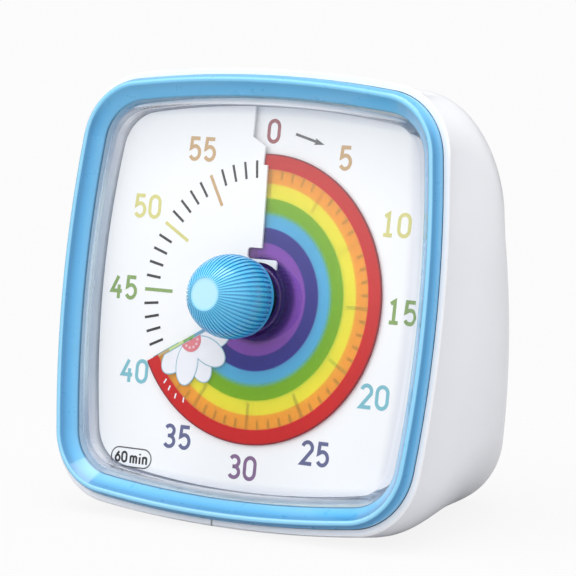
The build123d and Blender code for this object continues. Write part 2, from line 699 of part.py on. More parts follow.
def dial_tray():
    """The tray behind the plate: film recess, helical seat for the plate, shoulder for the lens, bosses."""
    body = slab(face_outline(TRAY_INSET), TRAY_BACK_OUT, TRAY_FACE_OUT)
    seat = helical_sheet(
        RECESS_RADIUS - 1,
        FACE_WIDTH,
        -SLIT_OVERLAP,
        FULL_HOUR_ANGLE - SLIT_OVERLAP - SEAT_END_GAP,
        lambda angle: TRAY_FACE_OUT - SINK,
        lambda angle: plate_middle(angle) - PLATE_THICKNESS / 2,
    )
    seat = seat & slab(face_outline(PLATE_OUTLINE_INSET, PLATE_CORNER_RADIUS), TRAY_BACK_OUT, 2 * FILM_PITCH)
    bosses = [rod(LUG_RADIUS, LUG_OUT, TRAY_BACK_OUT + SINK, x, up) for x, up in LUG_PLACES]
    recess = rod(RECESS_RADIUS, TRAY_FLOOR_OUT, 2 * FILM_PITCH)
    hole = rod(BEARING_RADIUS + SCREW_HOLE_GAP, TRAY_BACK_OUT - 1, TRAY_FLOOR_OUT + 1)
    hole_radius, well_radius = SCREW_RADIUS + SCREW_HOLE_GAP, SCREW_HEAD_RADIUS + SCREW_HOLE_GAP
    screw_holes = []
    for x, up in TRAY_SCREW_PLACES:
        screw_holes.append(rod(hole_radius, TRAY_BACK_OUT - 1, TRAY_FACE_OUT + 1, x, up))
        screw_holes.append(rod(well_radius, SCREW_HEAD_SEAT_OUT, 2 * FILM_PITCH, x, up))
    pilots = [rod(LUG_SCREW_RADIUS + SCREW_GAP, LUG_OUT - 1, TRAY_BACK_OUT, x, up) for x, up in LUG_PLACES]
    return DIAL * (body + seat + bosses - recess - hole - screw_holes - pilots)


def tray_screws():
    one = screw(SCREW_RADIUS, SCREW_HEAD_RADIUS, SCREW_HEAD_HEIGHT, SCREW_LENGTH)
    return [DIAL * Pos(x, up, SCREW_HEAD_SEAT_OUT) * one for x, up in TRAY_SCREW_PLACES]


# Spindle


def spindle():
    """The shaft: pivot in the movement's back, collar over the clutch, flat front end for hub and knob."""
    pivot_low = MOVEMENT_BACK_OUT + MOVEMENT_WALL - PIVOT_INTO_WALL
    pivot = rod(SPINDLE_PIVOT_RADIUS, pivot_low, SPINDLE_SHOULDER_OUT)
    round_part = rod(SPINDLE_RADIUS, SPINDLE_SHOULDER_OUT, SPINDLE_FLAT_OUT)
    flat_part = d_bore(0, SPINDLE_FLAT_OUT, SPINDLE_TIP_OUT)
    collar = rod(COLLAR_RADIUS, COLLAR_OUT, COLLAR_OUT + COLLAR_THICKNESS)
    return DIAL * (pivot + round_part + flat_part + collar)


def contact_cam():
    """A small cam on the spindle whose notch lets the alarm contact close at zero."""
    disc = tube(CAM_RADIUS, SPINDLE_RADIUS, CAM_OUT, CAM_OUT + CAM_THICKNESS)
    zero = math.radians(90 - SHOWN_ANGLE)
    x, up = CAM_RADIUS * math.cos(zero), CAM_RADIUS * math.sin(zero)
    return DIAL * (disc - rod(CAM_NOTCH, CAM_OUT - 1, CAM_OUT + CAM_THICKNESS + 1, x, up))


def clutch_spring():
    """A three-armed spring washer under the collar that grips the output wheel."""
    low = OUTPUT_WHEEL_OUT + OUTPUT_WHEEL_THICKNESS + END_SHAKE
    ring = tube(COLLAR_RADIUS, SPINDLE_RADIUS, low, COLLAR_OUT)
    high, half_arm = low + CLUTCH_THICKNESS, CLUTCH_ARM / 2
    arm = block(COLLAR_RADIUS - SINK, CLUTCH_RADIUS, -half_arm, half_arm, low, high)
    arms = [Rot(0, 0, place * 360 / CLUTCH_ARMS) * arm for place in range(CLUTCH_ARMS)]
    rim = tube(CLUTCH_RADIUS + half_arm, CLUTCH_RADIUS - half_arm, low, high)
    return DIAL * (ring + arms + rim)


# Movement


def movement_box(low, high, wall_low, wall_high):
    """One half of the movement's case between two heights, with an end wall between two others."""
    outline = RectangleRounded(MOVEMENT_SIZE, MOVEMENT_SIZE, MOVEMENT_CORNER_RADIUS)
    inside_size = MOVEMENT_SIZE - 2 * MOVEMENT_WALL
    inside = RectangleRounded(inside_size, inside_size, MOVEMENT_CORNER_RADIUS - MOVEMENT_WALL)
    return slab(outline, low, high) - slab(inside, low - 1, high + 1) + slab(outline, wall_low, wall_high)


def pivot_hole(low, x, up):
    """A blind bearing hole for an arbor's pivot."""
    return rod(PIVOT_RADIUS + BEARING_GAP, low, low + PIVOT_INTO_WALL + 2 * END_SHAKE, x, up)


def movement_front_case():
    wall = TRAY_BACK_OUT - MOVEMENT_WALL
    body = movement_box(MOVEMENT_SPLIT_OUT, TRAY_BACK_OUT, wall, TRAY_BACK_OUT)
    bearing = rod(BEARING_RADIUS, wall, TRAY_FLOOR_OUT - SCREW_GAP)
    lug_low, inner = LUG_OUT - LUG_THICKNESS, MOVEMENT_SIZE / 2 - SINK
    lugs = []
    lug_holes = []
    for x, up in LUG_PLACES:
        left, right = sorted((x, math.copysign(inner, x)))
        lugs.append(rod(LUG_RADIUS, lug_low, LUG_OUT, x, up))
        lugs.append(block(left, right, up - LUG_RADIUS, up + LUG_RADIUS, lug_low, LUG_OUT))
        lug_holes.append(rod(LUG_SCREW_RADIUS + SCREW_HOLE_GAP, lug_low - 1, LUG_OUT + 1, x, up))
    bore = rod(SPINDLE_RADIUS + BEARING_GAP, wall - 1, TRAY_FLOOR_OUT + 1)
    pivots = [
        pivot_hole(wall - END_SHAKE, THIRD_X, THIRD_UP),
        pivot_hole(wall - END_SHAKE, ROTOR_X, ROTOR_UP),
    ]
    return DIAL * (body + bearing + lugs - lug_holes - bore - pivots)


def movement_rear_case():
    wall = MOVEMENT_BACK_OUT + MOVEMENT_WALL
    body = movement_box(MOVEMENT_BACK_OUT, MOVEMENT_SPLIT_OUT, MOVEMENT_BACK_OUT, wall)
    depth = PIVOT_INTO_WALL + END_SHAKE
    spindle_hole = rod(SPINDLE_PIVOT_RADIUS + BEARING_GAP, wall - depth, wall + 1)
    pivots = [
        rod(PIVOT_RADIUS + BEARING_GAP, wall - depth, wall + 1, THIRD_X, THIRD_UP),
        rod(PIVOT_RADIUS + BEARING_GAP, wall - depth, wall + 1, ROTOR_X, ROTOR_UP),
    ]
    return DIAL * (body - spindle_hole - pivots)


def movement_screws():
    one = Rot(180, 0, 0) * screw(LUG_SCREW_RADIUS, LUG_SCREW_HEAD_RADIUS, SCREW_HEAD_HEIGHT, LUG_SCREW_LENGTH)
    return [DIAL * Pos(x, up, LUG_OUT - LUG_THICKNESS) * one for x, up in LUG_PLACES]


def output_wheel():
    """The wheel that drives the spindle through the clutch; it turns freely on the spindle."""
    high = OUTPUT_WHEEL_OUT + OUTPUT_WHEEL_THICKNESS
    wheel = gear(OUTPUT_TEETH, WHEEL_MODULE, OUTPUT_WHEEL_OUT, high, THIRD_ANGLE)
    return DIAL * (wheel - rod(SPINDLE_RADIUS + BEARING_GAP, OUTPUT_WHEEL_OUT - 1, high + 1))


def intermediate_wheel():
    """A moulded wheel with its pinion at the other end of one sleeve."""
    high = THIRD_WHEEL_OUT + THIRD_WHEEL_THICKNESS
    wheel = gear(THIRD_TEETH, ROTOR_MODULE, THIRD_WHEEL_OUT, high, ROTOR_ANGLE)
    pinion_low = OUTPUT_WHEEL_OUT - PINION_MARGIN
    pinion_high = OUTPUT_WHEEL_OUT + OUTPUT_WHEEL_THICKNESS + PINION_MARGIN
    gap_angle = THIRD_ANGLE + 180 + 180 / THIRD_PINION_TEETH
    pinion = gear(THIRD_PINION_TEETH, WHEEL_MODULE, pinion_low, pinion_high, gap_angle)
    sleeve = rod(ARBOR_RADIUS + SLEEVE_WALL, pinion_high - SINK, THIRD_WHEEL_OUT + SINK)
    bore = rod(ARBOR_RADIUS, pinion_low - 1, high + 1)
    return DIAL * Pos(THIRD_X, THIRD_UP) * (wheel + pinion + sleeve - bore)


def arbor(low, high):
    """A steel shaft whose thin pivots run in the two end walls of the movement."""
    front_wall = TRAY_BACK_OUT - MOVEMENT_WALL
    rear_wall = MOVEMENT_BACK_OUT + MOVEMENT_WALL
    shaft = rod(ARBOR_RADIUS, low, high)
    pivots = rod(PIVOT_RADIUS, rear_wall - PIVOT_INTO_WALL, front_wall + PIVOT_INTO_WALL)
    return shaft + pivots


def intermediate_arbor():
    low = MOVEMENT_BACK_OUT + MOVEMENT_WALL + END_SHAKE
    high = TRAY_BACK_OUT - MOVEMENT_WALL - END_SHAKE
    return DIAL * Pos(THIRD_X, THIRD_UP) * arbor(low, high)


def rotor_shaft():
    low = MOVEMENT_BACK_OUT + MOVEMENT_WALL + END_SHAKE
    high = TRAY_BACK_OUT - MOVEMENT_WALL - END_SHAKE
    return DIAL * Pos(ROTOR_X, ROTOR_UP) * arbor(low, high)


def rotor_pinion():
    low = THIRD_WHEEL_OUT - PINION_MARGIN
    high = THIRD_WHEEL_OUT + THIRD_WHEEL_THICKNESS + PINION_MARGIN
    gap_angle = ROTOR_ANGLE + 180 + 180 / ROTOR_TEETH
    teeth = gear(ROTOR_TEETH, ROTOR_MODULE, low, high, gap_angle)
    sleeve = rod(ARBOR_RADIUS + SLEEVE_WALL / 2, MAGNET_OUT + MAGNET_THICKNESS, low + SINK)
    bore = rod(ARBOR_RADIUS, MAGNET_OUT, high + 1)
    return DIAL * Pos(ROTOR_X, ROTOR_UP) * (teeth + sleeve - bore)


def rotor_magnet():
    high = MAGNET_OUT + MAGNET_THICKNESS
    return DIAL * tube(MAGNET_RADIUS, ARBOR_RADIUS, MAGNET_OUT, high, ROTOR_X, ROTOR_UP)


def stator_plate():
    """Soft iron plate round the rotor whose two legs reach the ends of the coil's core."""
    high = STATOR_OUT + STATOR_THICKNESS
    leg_top = COIL_UP + CORE_WIDTH / 2
    bottom = MOVEMENT_WALL - MOVEMENT_SIZE / 2
    plate = block(STATOR_LEFT, STATOR_RIGHT, bottom, STATOR_TOP, STATOR_OUT, high)
    left = block(STATOR_LEFT, STATOR_LEFT + STATOR_LEG, STATOR_TOP - 1, leg_top, STATOR_OUT, high)
    right = block(STATOR_RIGHT - STATOR_LEG, STATOR_RIGHT, STATOR_TOP - 1, leg_top, STATOR_OUT, high)
    hole = rod(MAGNET_RADIUS + ROTOR_AIR_GAP, STATOR_OUT - 1, high + 1, ROTOR_X, ROTOR_UP)
    arbor_hole = rod(ARBOR_RADIUS + SLEEVE_WALL + ROTOR_AIR_GAP, STATOR_OUT - 1, high + 1, THIRD_X, THIRD_UP)
    return DIAL * (plate + left + right - hole - arbor_hole)


def coil_core():
    """The bar through the coil, between the stator's legs."""
    high = STATOR_OUT + STATOR_THICKNESS
    low_up, high_up = COIL_UP - CORE_WIDTH / 2, COIL_UP + CORE_WIDTH / 2
    left, right = STATOR_LEFT + STATOR_LEG, STATOR_RIGHT - STATOR_LEG
    return DIAL * block(left, right, low_up, high_up, STATOR_OUT, high)


def drive_coil():
    middle = STATOR_OUT + STATOR_THICKNESS / 2
    winding = Pos(COIL_X, COIL_UP, middle) * Rot(0, 90, 0) * Cylinder(COIL_RADIUS, COIL_LENGTH)
    low_up, high_up = COIL_UP - CORE_WIDTH / 2, COIL_UP + CORE_WIDTH / 2
    core = block(STATOR_LEFT, STATOR_RIGHT, low_up, high_up, STATOR_OUT, STATOR_OUT + STATOR_THICKNESS)
    return DIAL * (winding - core)


def contact_leaf():
    """A spring leaf beside the cam, with a foot on the movement's front wall."""
    wall = TRAY_BACK_OUT - MOVEMENT_WALL
    low = CAM_RADIUS + LEAF_GAP
    middle = CAM_OUT + CAM_THICKNESS / 2
    leaf_low, leaf_high = middle - LEAF_WIDTH / 2, middle + LEAF_WIDTH / 2
    leaf = block(-CAM_NOTCH, LEAF_END_X, low, low + LEAF_THICKNESS, leaf_low, leaf_high)
    foot = block(LEAF_END_X - LEAF_FOOT, LEAF_END_X, low, low + LEAF_FOOT, leaf_low, wall)
    return DIAL * (leaf + foot)


# Board, switch and buzzer


def circuit_board():
    half_width, half_tall = BOARD_WIDTH / 2, BOARD_TALL / 2
    board = block(
        BOARD_X - half_width,
        BOARD_X + half_width,
        BOARD_FRONT_Y,
        BOARD_BACK_Y,
        BOARD_HEIGHT - half_tall,
        BOARD_HEIGHT + half_tall,
    )
    board = fillet(board.edges().filter_by(Axis.Y), BOARD_ROUND)
    radius = LUG_SCREW_RADIUS + SCREW_HOLE_GAP
    front, back = BOARD_FRONT_Y - 1, BOARD_BACK_Y + 1
    return board - [rear_rod(radius, front, back, x, BOARD_HEIGHT) for x in BOARD_SCREW_PLACES]


def board_screws():
    one = Rot(90, 0, 0) * screw(LUG_SCREW_RADIUS, LUG_SCREW_HEAD_RADIUS, SCREW_HEAD_HEIGHT, LUG_SCREW_LENGTH)
    return [Pos(x, BOARD_FRONT_Y, BOARD_HEIGHT) * one for x in BOARD_SCREW_PLACES]


def controller_chip():
    """The controller with a row of legs along each long side."""
    height = BOARD_HEIGHT + CHIP_UP
    half_width, half_tall = CHIP_WIDTH / 2, CHIP_TALL / 2
    left, right = BOARD_X - half_width, BOARD_X + half_width
    low, high = height - half_tall, height + half_tall
    body = block(left, right, BOARD_FRONT_Y - CHIP_THICKNESS, BOARD_FRONT_Y, low, high)
    reach = half_tall + CHIP_LEG_LENGTH
    legs = []
    for leg in range(CHIP_LEGS):
        leg_left = left + (leg + 0.5) * CHIP_WIDTH / CHIP_LEGS - CHIP_LEG_WIDTH / 2
        leg_right = leg_left + CHIP_LEG_WIDTH
        front = BOARD_FRONT_Y - CHIP_LEG_WIDTH
        legs.append(block(leg_left, leg_right, front, BOARD_FRONT_Y, height - reach, height + reach))
    return body + legs


def quartz_crystal():
    """A small can that lies on the board."""
    can = Rot(0, 90, 0) * Cylinder(CRYSTAL_RADIUS, CRYSTAL_LENGTH)
    can = fillet(can.edges(), CAN_ROUND)
    return Pos(BOARD_X + CRYSTAL_X, BOARD_FRONT_Y - CRYSTAL_RADIUS, BOARD_HEIGHT + CAN_UP) * can


def capacitor():
    """A can that stands off the board."""
    front = BOARD_FRONT_Y - CAPACITOR_HEIGHT
    can = rear_rod(CAPACITOR_RADIUS, front, BOARD_FRONT_Y, BOARD_X + CAPACITOR_X, BOARD_HEIGHT + CAN_UP)
    return fillet(can.edges(), CAN_ROUND)


def volume_switch():
    """The switch body on the board, with a track for the slider."""
    high = BOARD_BACK_Y + SWITCH_DEPTH
    body = block(
        BOARD_X - SWITCH_WIDTH / 2,
        BOARD_X + SWITCH_WIDTH / 2,
        BOARD_BACK_Y,
        high,
        BOARD_HEIGHT - SWITCH_TALL / 2,
        BOARD_HEIGHT + SWITCH_TALL / 2,
    )
    half_tall = SLIDER_TALL / 2 + SLIDER_GAP
    track = block(
        BOARD_X - SLOT_HALF_WIDTH,
        BOARD_X + SLOT_HALF_WIDTH,
        high - SLIDER_ROOT - SLIDER_GAP,
        high + 1,
        BOARD_HEIGHT - half_tall,
        BOARD_HEIGHT + half_tall,
    )
    return body - track


def volume_slider():
    """The small ridged button that slides in the back wall's slot; it stands at the loud end."""
    x = BOARD_X - SLIDER_TRAVEL / 2
    low = BOARD_BACK_Y + SWITCH_DEPTH - SLIDER_ROOT
    left, right = x - SLIDER_WIDTH / 2, x + SLIDER_WIDTH / 2
    bottom, top = BOARD_HEIGHT - SLIDER_TALL / 2, BOARD_HEIGHT + SLIDER_TALL / 2
    body = block(left, right, low, BACK_Y + SLIDER_PROUD, bottom, top)
    pitch = SLIDER_WIDTH / SLIDER_RIDGES
    for groove in range(SLIDER_RIDGES - 1):
        groove_x = left + (groove + 1) * pitch
        body -= block(
            groove_x - SLIDER_GROOVE / 2,
            groove_x + SLIDER_GROOVE / 2,
            BACK_Y + SLIDER_PROUD - SLIDER_GROOVE,
            BACK_Y + SLIDER_PROUD + 1,
            BOARD_HEIGHT - SLIDER_TALL,
            BOARD_HEIGHT + SLIDER_TALL,
        )
    return body


def buzzer_case():
    """A round can against the back wall, open to the sound holes, with a ledge for its disc."""
    low, high = BACK_WALL_Y - BUZZER_DEPTH, BACK_WALL_Y
    middle = (low + high) / 2
    room_radius = BUZZER_RADIUS - BUZZER_WALL
    ledge_radius = room_radius - BUZZER_LEDGE
    can = rear_rod(BUZZER_RADIUS, low, high, BUZZER_X, BUZZER_HEIGHT)
    front_room = rear_rod(ledge_radius, low + BUZZER_WALL, high + 1, BUZZER_X, BUZZER_HEIGHT)
    disc_room = rear_rod(room_radius, middle, high - BUZZER_WALL, BUZZER_X, BUZZER_HEIGHT)
    return can - front_room - disc_room


def buzzer_disc():
    """The thin disc that rings, on the can's ledge."""
    middle = BACK_WALL_Y - BUZZER_DEPTH / 2
    back = middle + BUZZER_DISC_THICKNESS
    return rear_rod(BUZZER_RADIUS - BUZZER_WALL, middle, back, BUZZER_X, BUZZER_HEIGHT)


# Battery


def battery_cell():
    """One AA cell, its nub against the plate contact at +X."""
    shoulder = CELL_END_X - CELL_NUB_LENGTH
    can = Cylinder(CELL_RADIUS, CELL_LENGTH, align=(Align.CENTER, Align.CENTER, Align.MAX))
    can = fillet(can.edges(), CELL_ROUND)
    nub = Cylinder(CELL_NUB_RADIUS, 2 * CELL_NUB_LENGTH)
    return Pos(shoulder, CELL_Y, CELL_HEIGHT) * Rot(0, 90, 0) * (can + nub)


def contact_plate(x_low):
    """A square contact against an end wall of the bay."""
    plate = Box(CONTACT_THICKNESS, CONTACT_SIZE, CONTACT_SIZE, align=(Align.MIN, Align.CENTER, Align.CENTER))
    return Pos(x_low, CELL_Y, CELL_HEIGHT) * plate


def battery_plate():
    return contact_plate(BAY_LENGTH / 2 - CONTACT_THICKNESS)


def battery_spring():
    """The negative contact: a plate with a coil spring of round wire pressed by the cell."""
    plate_x = -BAY_LENGTH / 2
    cell_low = CELL_END_X - CELL_NUB_LENGTH - CELL_LENGTH
    length = cell_low - CONTACT_GAP - plate_x - CONTACT_THICKNESS
    helix = Helix(SPRING_PITCH, length - 2 * SPRING_WIRE_RADIUS, SPRING_RADIUS)
    start = Plane(origin=helix @ 0, z_dir=helix % 0)
    coil = sweep(start * Circle(SPRING_WIRE_RADIUS), path=helix)
    coil_x = plate_x + CONTACT_THICKNESS + SPRING_WIRE_RADIUS - SPRING_SUNK
    return contact_plate(plate_x) + Pos(coil_x, CELL_Y, CELL_HEIGHT) * Rot(0, 90, 0) * coil


def battery_door():
    """A flat door flush with the back, with two ribs that reach into the bay and a ridged grip."""
    panel = bay_box(DOOR_REST - DOOR_GAP, BACK_Y - DOOR_THICKNESS, BACK_Y)
    ribs = []
    for side in (-1, 1):
        middle = CELL_HEIGHT + side * (BAY_HALF_TALL - DOOR_GAP - DOOR_RIB_WALL / 2)
        ribs.append(
            block(
                -DOOR_RIB_LENGTH / 2,
                DOOR_RIB_LENGTH / 2,
                BACK_Y - DOOR_THICKNESS - DOOR_RIB_HEIGHT,
                BACK_Y - DOOR_THICKNESS,
                middle - DOOR_RIB_WALL / 2,
                middle + DOOR_RIB_WALL / 2,
            )
        )
    door = panel + ribs
    for grip in range(DOOR_GRIPS):
        x = DOOR_GRIP_X + grip * DOOR_GRIP_PITCH
        door -= block(
            x - DOOR_GRIP_WIDTH / 2,
            x + DOOR_GRIP_WIDTH / 2,
            BACK_Y - DOOR_GRIP_DEPTH,
            BACK_Y + 1,
            CELL_HEIGHT - DOOR_GRIP_LENGTH / 2,
            CELL_HEIGHT + DOOR_GRIP_LENGTH / 2,
        )
    return door


PIECES = [
    rear_case,
    bezel,
    lens,
    dial_tray,
    tray_screws,
    dial_plate,
    rainbow_disc,
    disc_hub,
    knob,
    spindle,
    contact_cam,
    clutch_spring,
    movement_front_case,
    movement_rear_case,
    movement_screws,
    output_wheel,
    intermediate_wheel,
    intermediate_arbor,
    rotor_shaft,
    rotor_pinion,
    rotor_magnet,
    stator_plate,
    coil_core,
    drive_coil,
    contact_leaf,
    circuit_board,
    board_screws,
    controller_chip,
    quartz_crystal,
    capacitor,
    volume_switch,
    volume_slider,
    buzzer_case,
    buzzer_disc,
    battery_cell,
    battery_spring,
    battery_plate,
    battery_door,
]

for piece in PIECES:
    made = piece()
    if isinstance(made, list):
        made = Compound(children=made)
    export_step(made, f"parts/{piece.__name__}.step")
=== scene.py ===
import json
import math

import bmesh
import bpy
from mathutils import Euler, Matrix, Vector


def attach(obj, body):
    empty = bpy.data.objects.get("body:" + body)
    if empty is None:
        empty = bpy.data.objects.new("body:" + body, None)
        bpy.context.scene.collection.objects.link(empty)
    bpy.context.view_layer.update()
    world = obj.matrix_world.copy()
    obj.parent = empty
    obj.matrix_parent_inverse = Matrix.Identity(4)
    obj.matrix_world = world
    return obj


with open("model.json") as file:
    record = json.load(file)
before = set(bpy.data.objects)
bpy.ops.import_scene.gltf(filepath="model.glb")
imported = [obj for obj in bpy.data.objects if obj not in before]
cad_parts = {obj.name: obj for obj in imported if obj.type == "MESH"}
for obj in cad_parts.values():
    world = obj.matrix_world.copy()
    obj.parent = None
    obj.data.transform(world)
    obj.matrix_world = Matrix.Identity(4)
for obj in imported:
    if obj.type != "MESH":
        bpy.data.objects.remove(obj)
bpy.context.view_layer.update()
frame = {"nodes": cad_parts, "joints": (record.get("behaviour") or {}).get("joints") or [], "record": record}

MM = 0.001

# The dial's frame, in mm: x to the right, up along the face, out towards the user
knob_turn = next(joint for joint in frame["joints"] if joint["name"] == "knob_turn")
DIAL_CENTRE = Vector(knob_turn["pos_m"])
INTO_DIAL = Vector(knob_turn["axis"])
DIAL_TILT = math.asin(-INTO_DIAL.z)
DIAL_TURN = Euler((math.pi / 2 - DIAL_TILT, 0, 0))
DIAL = Matrix.Translation(DIAL_CENTRE) @ DIAL_TURN.to_matrix().to_4x4() @ Matrix.Scale(MM, 4)

# Sizes of the solids that the print and the colours follow, in mm and degrees
FILM_RADIUS = 27.4
FILM_PITCH = 1.2
FILM_TOP = 0.125
PLATE_TOP = -0.4
SHOWN_ANGLE = 240.0
FACE_HALF, FACE_BOW = 43.0, 3.2
LENS_INSET = 5.5
KNOB_TOP_OUT = 17.9

# Where colours and painted light and shade begin and end, in mm. The corner is smaller than the solid's,
# because the bow rounds it too.
FACE_CORNER = 10.0
LENS_EDGE_WIDTH = 4.0
BEZEL_LOW_OUT, BEZEL_HIGH_OUT = 3.6, 7.14
KNOB_SHADED_OUT, KNOB_LIT_RADIUS = 8.0, 3.0
HUB_BLACK_RADIUS = 5.3
CELL_SLEEVE_END = 13.5

# Surface variation that the materials share: noise cells to the millimetre, and how sharply a surface has
# to turn for wear to begin and to be full
BLOTCH_CELLS, GLOSS_CELLS = 0.09, 0.4
WEAR_START, WEAR_END = 0.53, 0.62


# Camera

CAMERA_LENS = 196.85
CAMERA_NEAR = 0.01
CAMERA_FROM_DIAL = Vector((0.33206, -0.48192, 0.08089))
CAMERA_PITCH, CAMERA_YAW = math.radians(82.336), math.radians(34.03)

camera = bpy.data.objects.new("camera", bpy.data.cameras.new("camera"))
bpy.context.scene.collection.objects.link(camera)
bpy.context.scene.camera = camera
camera.data.lens = CAMERA_LENS
camera.data.clip_start = CAMERA_NEAR
camera.location = DIAL_CENTRE + CAMERA_FROM_DIAL
camera.rotation_euler = (CAMERA_PITCH, 0, CAMERA_YAW)


# Materials


def srgb(red, green, blue):
    """An sRGB colour of 0 to 255 as linear RGBA."""

    def linear(value):
        value /= 255
        return value / 12.92 if value <= 0.04045 else ((value + 0.055) / 1.055) ** 2.4

    return (linear(red), linear(green), linear(blue), 1.0)


class Shader:
    """A material's or world's node tree, with short calls to add nodes and links."""

    def __init__(self, owner):
        owner.use_nodes = True
        self.tree = owner.node_tree
        self.tree.nodes.clear()

    def add(self, kind, inputs=None, **settings):
        made = self.tree.nodes.new(kind)
        for name, value in settings.items():
            setattr(made, name, value)
        for key, value in (inputs or {}).items():
            self.feed(made.inputs[key], value)
        return made

    def feed(self, socket, value):
        if isinstance(value, bpy.types.NodeSocket):
            self.tree.links.new(value, socket)
        else:
            socket.default_value = value

    def math(self, operation, first, second=0.0):
        return self.add("ShaderNodeMath", {0: first, 1: second}, operation=operation).outputs[0]

    def ramp(self, factor, stops):
        """A colour ramp of (position, colour) stops."""
        made = self.add("ShaderNodeValToRGB", {0: factor})
        while len(made.color_ramp.elements) < len(stops):
            made.color_ramp.elements.new(1.0)
        for element, (position, colour) in zip(made.color_ramp.elements, stops):
            element.position = position
            element.color = colour if len(colour) == 4 else (*colour, 1.0)
        return made.outputs[0]

    def mix(self, factor, first, second, blend="MIX"):
        """The first colour at a factor of 0, and blended with the second at 1."""
        made = self.add("ShaderNodeMix", data_type="RGBA", blend_type=blend)
        for index, value in ((0, factor), (6, first), (7, second)):
            self.feed(made.inputs[index], value)
        return made.outputs[2]

    def smooth(self, value, low, high, at_low=0.0, at_high=1.0):
        """From at_low to at_high as the value goes from low to high, and level outside them."""
        inputs = {0: value, 1: low, 2: high, 3: at_low, 4: at_high}
        return self.add("ShaderNodeMapRange", inputs, interpolation_type="SMOOTHSTEP").outputs[0]

    def between(self, share, first, second):
        """The first shader at a share of 0, the second at 1."""
        return self.add("ShaderNodeMixShader", {0: share, 1: first.outputs[0], 2: second.outputs[0]})

    def noise(self, scale):
        """Noise of that many cells to the millimetre, from 0 to 1."""
        place = self.add("ShaderNodeTexCoord").outputs["Object"]
        inputs = {"Vector": place, "Scale": scale / MM, "Detail": 3.0}
        return self.add("ShaderNodeTexNoise", inputs).outputs[0]

    def dial(self):
        """The point's x, up and out in mm, and its distance from the dial's axis."""
        place = self.add("ShaderNodeTexCoord").outputs["Object"]
        inputs = {"Vector": place, "Location": DIAL_CENTRE, "Rotation": DIAL_TURN, "Scale": (MM, MM, MM)}
        mapped = self.add("ShaderNodeMapping", inputs, vector_type="TEXTURE").outputs[0]
        x, up, out = self.add("ShaderNodeSeparateXYZ", {0: mapped}).outputs
        squares = self.math("ADD", self.math("MULTIPLY", x, x), self.math("MULTIPLY", up, up))
        return x, up, out, self.math("SQRT", squares)

    def inset(self):
        """How far the point lies inside the face's outline, in mm: bowed sides and round corners."""
        x, up = self.dial()[:2]
        bow = FACE_BOW / (FACE_HALF - FACE_BOW) ** 2
        beyond = []
        for near, far in ((x, up), (up, x)):
            bowed = self.math("MULTIPLY", self.math("MULTIPLY", far, far), bow)
            reach = self.math("ADD", self.math("ABSOLUTE", near), bowed)
            beyond.append(self.math("SUBTRACT", reach, FACE_HALF - FACE_CORNER))
        outer = [self.math("MAXIMUM", value, 0.0) for value in beyond]
        squares = self.math("ADD", *[self.math("MULTIPLY", value, value) for value in outer])
        nearest = self.math("MINIMUM", self.math("MAXIMUM", *beyond), 0.0)
        return self.math("SUBTRACT", FACE_CORNER, self.math("ADD", self.math("SQRT", squares), nearest))

    def blotched(self, colour, amount):
        """The colour with soft blotches."""
        shade = self.smooth(self.noise(BLOTCH_CELLS), 0.35, 0.65, 1.0 - amount, 1.0)
        return self.mix(1.0, colour, shade, "MULTIPLY")

    def worn(self, colour, amount, paling):
        """The colour with soft blotches, and paler where the surface turns sharply."""
        varied = self.blotched(colour, amount)
        sharpness = self.add("ShaderNodeNewGeometry").outputs["Pointiness"]
        pale = self.mix(1.0, varied, (0.25, 0.25, 0.25, 1.0), "ADD")
        return self.mix(self.smooth(sharpness, WEAR_START, WEAR_END, 0.0, paling), varied, pale)


def moulded(name, colour, roughness, grain, grain_scale, variation, coat=0.0, metallic=0.0, paling=0.1):
    """Moulded plastic or metal: soft colour variation, uneven gloss, fine grain, and paling along edges."""
    material = bpy.data.materials.new(name)
    shader = Shader(material)
    surface = shader.add("ShaderNodeBsdfPrincipled")
    base = colour(shader) if callable(colour) else colour
    painted = shader.worn(base, variation, paling) if paling else shader.blotched(base, variation)
    shader.feed(surface.inputs["Base Color"], painted)
    gloss = shader.smooth(shader.noise(GLOSS_CELLS), 0.3, 0.7, roughness * 0.9, roughness * 1.1)
    shader.feed(surface.inputs["Roughness"], gloss)
    surface.inputs["Metallic"].default_value = metallic
    surface.inputs["Coat Weight"].default_value = coat
    surface.inputs["Coat Roughness"].default_value = 0.06
    bumps = {"Height": shader.noise(grain_scale), "Distance": grain * MM, "Strength": 0.5}
    shader.feed(surface.inputs["Normal"], shader.add("ShaderNodeBump", bumps).outputs[0])
    shader.add("ShaderNodeOutputMaterial", {"Surface": surface.outputs[0]})
    return material


# The film's rings from the hub outwards: the colour, the share of the film's radius where it ends, and half
# the width of its blend into the next. The last one is the rim.
RED_START = 0.893
FILM_RINGS = [
    (srgb(108, 42, 150), 0.30, 0.02),
    (srgb(178, 112, 214), 0.39, 0.004),
    (srgb(76, 72, 178), 0.494, 0.004),
    (srgb(126, 211, 240), 0.592, 0.02),
    (srgb(165, 210, 48), 0.696, 0.004),
    (srgb(251, 245, 98), 0.795, 0.004),
    (srgb(254, 199, 92), RED_START, 0.004),
    (srgb(222, 38, 40), 0.99, 0.003),
    (srgb(146, 42, 54), 1.0, 0.0),
]
FILM_CLEARNESS, RED_CLEARNESS = 0.68, 0.28


